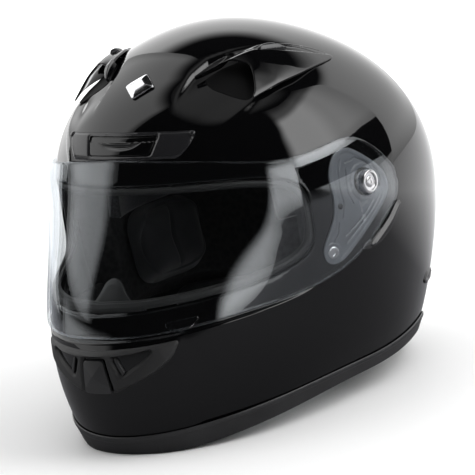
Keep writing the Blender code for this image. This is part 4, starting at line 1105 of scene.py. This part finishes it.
def circle(middle, r, count=48):
    """Ring of points on a circle in a local plane."""
    turn = np.arange(count) * 2 * np.pi / count
    return np.stack([middle[0] + r * np.cos(turn), middle[1] + r * np.sin(turn)], -1)


def arc_groove(a, b, line, half):
    """1 on a poly-line drawn on the plate, falling to 0 at `half` mm from it."""
    line = np.asarray(line, float) * MM
    gap = np.full(np.shape(a), 1.0)
    for p, q in zip(line[:-1], line[1:]):
        d = q - p
        t = np.clip(((a - p[0]) * d[0] + (b - p[1]) * d[1]) / (d @ d), 0, 1)
        gap = np.minimum(gap, np.hypot(a - p[0] - t * d[0], b - p[1] - t * d[1]))
    return 1 - smooth_step(gap / (half * MM))


# outline of the base plate round the pivot and its moulded grooves, in mm;
# each groove is a line and its half width
PLATE_EDGE = [(-10.8, 26), (-19.2, 24.8), (-25.5, 18.8), (-29.2, 11), (-29.3, 2.8),
              (-29.4, -6.2), (-31.6, -16), (-38, -26), (-44, -34), (-47.5, -41), (-46.5, -49.5),
              (-40.3, -53.5), (-31.1, -52.5), (-24.4, -48.5), (-6.6, -36.0), (8.8, -25.0),
              (20.5, -16.2), (25.6, -8.4), (23.8, 1.2), (15.2, 10.6), (4.8, 18.6), (-4.8, 25)]
GROOVES = [([(-15.8, 19.3), (-20.2, 12.4), (-22.2, 0.7), (-21.5, -9.8), (-24.7, -19.7)], 1.1),
           ([(-13.4, 12.5), (-15.4, 3.7), (-16.2, -4), (-13, -12)], 0.9),
           ([(-28.8, -22.3), (-31.2, -30), (-36, -36)], 0.9),
           ([(12, 10), (17, 2), (18.5, -6), (13, -14), (3, -21.5), (-12, -31), (-24, -39)], 1.1),
           ([(7, -14), (-2, -21), (-14, -28), (-24, -33)], 0.9),
           ([(-12, 16.5), (-2, 17.5), (7, 12.5), (11, 6)], 0.9)]


def make_mechanism():
    """Base plate with moulded grooves, two studs and a slotted screw; the pivot cap with
    a ring and a dished middle; the release lever with its hook, and its thumb well."""
    outline = rounded_outline(PLATE_EDGE, 3.5)
    screw_at = np.array([-38.5, -43.5]) * MM

    def face(a, b, d):
        groove = 0 * a
        for line, half in GROOVES:
            groove = np.maximum(groove, arc_groove(a, b, line, half))
        reach = np.hypot(a, b)
        collar = smooth_step((13.2 * MM - reach) / (1.2 * MM))
        floor = smooth_step((d - 2.2 * MM) / (0.8 * MM))
        return (1.5 - 0.55 * floor * (1 - collar) + 0.35 * collar - 0.75 * groove) * MM

    for name, sign in (("left", 1), ("right", -1)):
        plain = local_map(PIVOT)

        def hug(a, b, offset):
            ray = plain(a, b, 0 * np.asarray(a)) - CENTRE
            theta = np.arctan2(ray[..., 0], -ray[..., 1])
            phi = np.arccos(ray[..., 2] / np.linalg.norm(ray, axis=-1))
            along, down = (np.abs(np.degrees(theta)) - 90) / 14, (np.degrees(phi) - 66) / 11
            relief = -SWING_RELIEF * np.exp(-along**2 - down**2)
            return plain(a, b, offset + relief) * [sign, 1, 1]

        bore = circle((0.0, 0.0), 9.6 * MM)
        well = circle(screw_at, 4.9 * MM)
        mesh = local_plate(name + "_hinge_plate", hug, outline, face, -0.4 * MM, 0.55 * MM,
                           [bore, well], lip=0.35 * MM)
        place(name + "_hinge_plate", mesh, smoke, "helmet",
              name + "_base_plate")
        seat = hug(*screw_at, 0.5 * MM)
        mesh = turned_mesh(name + "_plate_screw", seat, seat - CENTRE,
                           [(0, -0.8), (4.3, -0.8), (4.4, 0.5), (4.1, 0.95), (3.5, 1.15),
                            (2.3, 1.2), (2.1, 0.3), (0, 0.25)], 56)
        place(name + "_plate_screw", mesh, steel, "helmet",
              name + "_base_plate_screw")
        for k, spot in enumerate([(-25.0, -11.0), (14.5, -4.5)]):
            seat = hug(*(np.array(spot) * MM), 1.0 * MM)
            mesh = turned_mesh("%s_plate_stud_%d" % (name, k + 1), seat, seat - CENTRE,
                               [(0, -0.8), (1.9, -0.8), (2.0, 0.2), (1.6, 0.6), (0, 0.75)], 36)
            place("%s_plate_stud_%d" % (name, k + 1), mesh, smooth_black, "helmet")
        cap_base = PIVOT * [sign, 1, 1] + [sign * 0.9 * MM, 0, 0]
        mesh = turned_mesh(name + "_pivot_boss", cap_base, (sign, 0, 0),
                           [(0, -0.9), (8.2, -0.9), (8.3, 5.0), (8.1, 5.55), (7.6, 5.8),
                            (6.5, 5.85), (6.1, 5.5), (5.9, 4.6), (4.2, 4.5), (3.9, 5.0),
                            (3.6, 5.25), (1.4, 5.3), (1.2, 4.9), (0, 4.85)], 96)
        place(name + "_pivot_boss", mesh, steel, "helmet",
              name + "_pivot_cap")
        reach = local_map(np.array([124.5, -10.1, 106.5]) * MM, sign)
        arm = rounded_outline([(-1.5, 1.8), (4, 6), (10, 9.6), (22, 17), (31, 24.5), (36, 26.5),
                               (38.6, 23.0), (34, 18.4), (27, 11.4), (20, 6), (12, 2.2),
                               (4, 0)], 2.6)

        def ramp(a, b, d):
            return (1.4 + 1.9 * smooth_step(d / (2.6 * MM)) + 0.7 * smooth_step(a / (36 * MM))) * MM

        mesh = local_plate(name + "_lever_arm", reach, arm, ramp, 0.5 * MM, 0.5 * MM,
                           lip=0.4 * MM)
        place(name + "_lever_arm", mesh, smooth_black, name + "_lever",
              name + "_release_lever")
        hook = rounded_outline([(-6.6, 4.4), (-1, 5.8), (5.2, 5.4), (6.8, 2.4), (0, -0.8),
                                (-6.6, 1.0)], 2)
        mesh = local_plate(name + "_lever_hook", reach, hook,
                           lambda a, b, d: (0.7 + 0.5 * smooth_step(d / (1.5 * MM))) * MM,
                           -0.3 * MM, 0.4 * MM, lip=0.3 * MM)
        place(name + "_lever_hook", mesh, satin, "helmet")


# ---- chin strap ---------------------------------------------------------------------
def strap_height(x):
    """Sag of the buckled strap between its two anchors."""
    return STRAP_LOW + (STRAP_Z - STRAP_LOW) * (x / STRAP_X)**2


def strap_mesh(name, start, end, lift):
    """Flat webbing with rolled selvedges between two x positions, along its sag."""
    x = np.linspace(start, end, 150)
    z = strap_height(x) + lift
    slope = np.gradient(z, x)
    normal = np.stack([-slope, np.ones_like(x)], -1) / np.sqrt(1 + slope**2)[:, None]
    section = rounded_section([(-0.5, 0), (0.5, 0), (0.5, 1), (-0.5, 1)], 0.45, 6)
    section = section * [STRAP_WIDTH, STRAP_THICKNESS]
    thin = 1 - 0.18 * (1 - smooth_step((0.5 * STRAP_WIDTH - np.abs(section[:, 0])) / (2 * MM)))
    up = (section[:, 1] - STRAP_THICKNESS / 2) * thin + STRAP_THICKNESS / 2
    points = np.stack([x[:, None] + normal[:, :1] * up,
                       STRAP_Y + section[None, :, 0] + 0 * x[:, None],
                       z[:, None] + normal[:, 1:] * up], -1)
    run = np.concatenate([[0], np.cumsum(np.hypot(np.diff(x), np.diff(z)))])
    along, across = np.broadcast_arrays(run[:, None], section[None, :, 0])
    uv = np.stack([along, across], -1) * 20
    return swept_mesh(name, points, False, uv)


def ring_mesh(name, x, wire=1.5 * MM):
    """Wire ring with one straight side, standing across the strap."""
    half, high, drop = STRAP_WIDTH / 2 + 4.5 * MM, 8.0 * MM, 4.4 * MM
    arc = np.radians(np.linspace(0, 180, 9))
    path = [(half * math.cos(k), high * math.sin(k)) for k in arc]
    path += [(-half * 0.86, -drop), (0, -drop), (half * 0.86, -drop)]
    path = closed_curve(path, 144)
    along = np.roll(path, -1, 0) - np.roll(path, 1, 0)
    along /= np.linalg.norm(along, axis=1, keepdims=True)
    outward = np.stack([along[:, 1], -along[:, 0]], -1)
    turn = np.arange(18) * 2 * np.pi / 18
    flat = path[:, None] + outward[:, None] * (wire * np.cos(turn))[None, :, None]
    points = np.stack([x + wire * np.sin(turn)[None] + 0 * flat[..., 0],
                       STRAP_Y + flat[..., 0], STRAP_LOW + 2.2 * MM + flat[..., 1]], -1)
    return swept_mesh(name, points)


def make_chin_strap():
    """Two lengths of webbing, the double ring buckle, the end snap, and the riveted
    anchor plates inside the shell, with a row of stitches near each anchor."""
    lift = STRAP_THICKNESS + 0.5 * MM
    place("right_webbing", strap_mesh("right_webbing", -STRAP_X + 3 * MM, 44 * MM, 0.0), webbing,
          "chin_strap", "right_strap")
    place("left_webbing", strap_mesh("left_webbing", -8 * MM, STRAP_X - 3 * MM, lift), webbing,
          "chin_strap", "left_strap")
    place("front_ring", ring_mesh("front_ring", 3 * MM), steel, "chin_strap",
          "front_d_ring")
    place("back_ring", ring_mesh("back_ring", 9 * MM), steel, "chin_strap",
          "back_d_ring")
    x = 38 * MM
    mesh = turned_mesh("end_snap", (x, STRAP_Y, strap_height(x) - 2.4 * MM), (0, 0, -1),
                       [(0, -0.9), (5.3, -0.9), (5.5, 0.3), (5.0, 0.8), (3.2, 0.9), (2.9, 0.4),
                        (0, 0.35)], 48)
    place("end_snap", mesh, matte, "chin_strap", "strap_end_snap")
    for name, sign in (("left", 1), ("right", -1)):
        seat = (sign * (STRAP_X + 1.6 * MM), STRAP_Y, STRAP_Z + 2.0 * MM)
        mesh = turned_mesh(name + "_anchor_rivet", seat, (-sign, 0, 0),
                           [(0, -1.2), (6.8, -1.2), (7.0, 0.4), (6.5, 1.0), (4.0, 1.2),
                            (3.0, 1.9), (0, 2.1)], 56)
        place(name + "_anchor_rivet", mesh, steel, "helmet",
              name + "_strap_anchor")
        ends = sign * np.linspace(STRAP_X - 16 * MM, STRAP_X - 9 * MM, 2)
        y = np.linspace(-8, 8, 9) * MM
        height = (lift if sign > 0 else 0.0) + STRAP_THICKNESS
        rows = []
        for x0 in ends:
            tilt = 2 * (STRAP_Z - STRAP_LOW) * x0 / STRAP_X**2
            z0 = strap_height(x0) + height * math.hypot(1, tilt)
            rows.append(np.stack([x0 + 0 * y, STRAP_Y + y, z0 + 0 * y], -1))
        rows = np.concatenate(rows)
        turn = np.arange(8) * 2 * np.pi / 8
        long = np.linspace(-1, 1, 7)
        bulge = np.sqrt(np.clip(1 - long**2, 0.02, 1))
        thin = 0.28 * MM * bulge[:, None]
        capsule = np.stack([thin * np.cos(turn), 0.85 * MM * long[:, None] + 0 * turn,
                            thin * np.sin(turn)], -1)
        points, faces, _ = swept_parts(capsule, False)
        shift = len(points) * np.arange(len(rows))[:, None, None]
        faces = [(f + shift).reshape(-1, f.shape[1]) for f in faces]
        mesh = make_mesh(name + "_anchor_stitches", (rows[:, None] + points).reshape(-1, 3), faces)
        place(name + "_anchor_stitches", mesh, piping, "chin_strap")


# ---- assembly -----------------------------------------------------------------------
make_shell()
make_trim()
make_gasket()
make_liner()
make_pads()
make_curtain()
make_deflector()
make_top_vents()
make_forehead_vent()
make_chin_vent()
make_rear_vents()
make_badge()
make_shield()
make_mechanism()
make_chin_strap()


# ---- studio -------------------------------------------------------------------------
def emitter(name, strength, fade):
    """Emission with a colour ramp of (place, share) stops across and up the panel."""
    mat, tree = new_material(name)
    tree.nodes.remove(tree.nodes["Principled BSDF"])
    light = add_node(tree, "Emission", Color=(1, 1, 1, 1))
    split = add_node(tree, "SeparateXYZ")
    tree.links.new(coordinates(tree, "UV"), split.inputs["Vector"])
    shares = []
    for axis, stops in zip("XY", fade):
        ramp = add_node(tree, "ValToRGB")
        ramp.color_ramp.interpolation = "EASE"
        points = ramp.color_ramp.elements
        while len(points) < len(stops):
            points.new(0.5)
        for element, (at, level) in zip(points, stops):
            element.position = at
            element.color = (level, level, level, 1)
        tree.links.new(split.outputs[axis], ramp.inputs["Fac"])
        shares.append(ramp.outputs["Color"])
    power = times(tree, times(tree, *shares), float(strength))
    tree.links.new(power, light.inputs["Strength"])
    tree.links.new(light.outputs["Emission"], tree.nodes["Material Output"].inputs["Surface"])
    return mat


def panel(name, az, el, distance, strength, fade):
    """Curved softbox round the helmet, between two azimuths and two elevations as seen
    from its middle; azimuth 0 is the front and 90 the wearer's left."""
    u, v = np.meshgrid(np.linspace(0, 1, 25), np.linspace(0, 1, 9), indexing="ij")
    a = np.radians(az[0] + (az[1] - az[0]) * u)
    e = np.radians(el[0] + (el[1] - el[0]) * v)
    way = np.stack([np.sin(a) * np.cos(e), -np.cos(a) * np.cos(e), np.sin(e)], -1)
    points = np.array([0, 0, 0.13]) + distance * way
    i, j = np.meshgrid(np.arange(24), np.arange(8), indexing="ij")
    quads = np.stack([i * 9 + j, (i + 1) * 9 + j, (i + 1) * 9 + j + 1, i * 9 + j + 1], -1)
    mesh = bpy.data.meshes.new(name)
    mesh.from_pydata(points.reshape(-1, 3), [], quads.reshape(-1, 4).tolist())
    corner = np.zeros(len(mesh.loops), np.int32)
    mesh.loops.foreach_get("vertex_index", corner)
    mesh.uv_layers.new(name="panel")
    uv = np.stack([u, v], -1).reshape(-1, 2)[corner]
    mesh.uv_layers["panel"].data.foreach_set("uv", uv.astype(np.float32).ravel())
    mesh.materials.append(emitter(name, strength, fade))
    obj = bpy.data.objects.new(name, mesh)
    bpy.context.scene.collection.objects.link(obj)
    obj.visible_camera = False
    obj.visible_shadow = False


def make_world():
    """White where the camera looks past the floor, and nearly black for every other ray."""
    world = bpy.data.worlds.new("studio")
    bpy.context.scene.world = world
    world.use_nodes = True
    tree = world.node_tree
    white = (1, 1, 1, 1)
    soft = tree.nodes["Background"]
    soft.inputs["Color"].default_value = white
    soft.inputs["Strength"].default_value = 0.012
    bright = add_node(tree, "Background", Color=white, Strength=1.0)
    seen = add_node(tree, "LightPath")
    mix = add_node(tree, "MixShader")
    tree.links.new(seen.outputs["Is Camera Ray"], mix.inputs["Fac"])
    tree.links.new(soft.outputs["Background"], mix.inputs[1])
    tree.links.new(bright.outputs["Background"], mix.inputs[2])
    tree.links.new(mix.outputs["Shader"], tree.nodes["World Output"].inputs["Surface"])


def make_floor():
    """Pale floor that turns to plain white far away. In reflections it is dark close to
    the helmet and glows behind it, like a floor cloth under a lit backdrop."""
    size, low = 12.0, -0.4 * MM
    mesh = bpy.data.meshes.new("floor")
    mesh.from_pydata([(-size, -size, low), (size, -size, low), (size, size, low),
                      (-size, size, low)], [], [(0, 1, 2, 3)])
    mat, tree = new_material("pale_floor")
    link = tree.links.new
    spot = coordinates(tree, "Object")
    shader = tree.nodes["Principled BSDF"]
    shader.inputs["Base Color"].default_value = (0.9, 0.9, 0.9, 1)
    shader.inputs["Roughness"].default_value = 0.6
    shader.inputs["Specular IOR Level"].default_value = 0.1
    shader.inputs["Emission Color"].default_value = (1, 1, 1, 1)
    far = add_node(tree, "VectorMath", operation="LENGTH")
    reach = add_node(tree, "MapRange", From_Min=0.7, From_Max=2.2, To_Max=1.0)
    link(spot, far.inputs[0])
    link(far.outputs["Value"], reach.inputs["Value"])
    link(reach.outputs["Result"], shader.inputs["Emission Strength"])
    dim = add_node(tree, "BsdfDiffuse", Color=(0.22, 0.22, 0.23, 1))
    glow = add_node(tree, "Emission")
    behind = add_node(tree, "SeparateXYZ")
    rise = add_node(tree, "MapRange", From_Min=0.26, From_Max=0.55, To_Max=1.1)
    both = add_node(tree, "AddShader")
    link(spot, behind.inputs["Vector"])
    link(behind.outputs["Y"], rise.inputs["Value"])
    link(rise.outputs["Result"], glow.inputs["Strength"])
    link(dim.outputs["BSDF"], both.inputs[0])
    link(glow.outputs["Emission"], both.inputs[1])
    ray = add_node(tree, "LightPath")
    either = add_node(tree, "MixShader")
    link(ray.outputs["Is Glossy Ray"], either.inputs["Fac"])
    link(shader.outputs["BSDF"], either.inputs[1])
    link(both.outputs["Shader"], either.inputs[2])
    link(either.outputs["Shader"], tree.nodes["Material Output"].inputs["Surface"])
    mesh.materials.append(mat)
    floor = bpy.data.objects.new("floor", mesh)
    bpy.context.scene.collection.objects.link(floor)


def make_lights():
    """Tall softbox at the rear left, a wide dim one on the right, a sweep behind, two low
    cards that only the shield reflects, a faint ceiling, and a fill for the floor."""
    panel("left_softbox", (74, 150), (13, 62), 1.8, 4.8,
          ([(0.0, 0.0), (0.13, 1.0), (0.5, 0.95), (0.75, 0.62), (1.0, 0.35)],
           [(0.0, 0.75), (0.1, 1.0), (0.68, 1.0), (0.85, 0.22), (1.0, 0.05)]))
    panel("rear_sweep", (150, 262), (-14, 48), 2.2, 2.1,
          ([(0.0, 1.0), (0.3, 0.8), (0.6, 1.0), (1.0, 1.0)],
           [(0.0, 0.0), (0.3, 0.8), (0.8, 0.9), (1.0, 0.0)]))
    panel("right_softbox", (-122, -44), (9, 68), 1.9, 1.45,
          ([(0.0, 0.6), (0.1, 1.0), (0.9, 1.0), (1.0, 0.3)],
           [(0.0, 0.5), (0.1, 1.0), (0.85, 0.9), (1.0, 0.0)]))
    panel("left_low_card", (57, 78), (-9, 19), 1.7, 3.2,
          ([(0.0, 0.0), (0.3, 1.0), (1.0, 1.0)],
           [(0.0, 0.0), (0.35, 1.0), (0.85, 1.0), (1.0, 0.3)]))
    panel("front_low_card", (-80, -14), (-42, 8), 1.7, 1.15,
          ([(0.0, 0.6), (0.5, 1.0), (0.8, 0.8), (1.0, 0.0)],
           [(0.0, 0.3), (0.5, 1.0), (0.85, 1.0), (1.0, 0.0)]))
    panel("overhead", (0, 360), (62, 90), 2.4, 0.42,
          ([(0.0, 1.0), (1.0, 1.0)], [(0.0, 0.0), (0.7, 1.0), (1.0, 1.0)]))

    fill = bpy.data.lights.new("floor_fill", "AREA")
    fill.shape, fill.size, fill.size_y = "RECTANGLE", 4.0, 4.0
    fill.energy = 95.0
    lamp = bpy.data.objects.new("floor_fill", fill)
    lamp.location = (0, 0, 2.6)
    lamp.visible_glossy = False
    lamp.visible_camera = False
    bpy.context.scene.collection.objects.link(lamp)


def make_camera():
    """Long lens on the wearer's left front, a little above, rolled a few degrees."""
    az, el, roll = np.radians([40.341, 12.178, -9.43])
    back = np.array([math.sin(az) * math.cos(el), -math.cos(az) * math.cos(el), math.sin(el)])
    right = np.array([math.cos(az), math.sin(az), 0])
    up = np.cross(back, right)
    x = right * math.cos(roll) + up * math.sin(roll)
    y = -right * math.sin(roll) + up * math.cos(roll)
    cam = bpy.data.cameras.new("camera")
    cam.lens, cam.sensor_width = 273.67, 36.0
    cam.clip_start, cam.clip_end = 0.1, 50.0
    obj = bpy.data.objects.new("camera", cam)
    place_at = CENTRE + back * 2.5664 - x * 0.00234 - y * 0.01495
    matrix = Matrix.Identity(4)
    for k, axis in enumerate((x, y, back)):
        for row in range(3):
            matrix[row][k] = axis[row]
    matrix.translation = Vector(place_at)
    obj.matrix_world = matrix
    bpy.context.scene.collection.objects.link(obj)
    bpy.context.scene.camera = obj


bpy.context.scene.view_settings.view_transform = "Standard"
make_world()
make_floor()
make_lights()
make_camera()
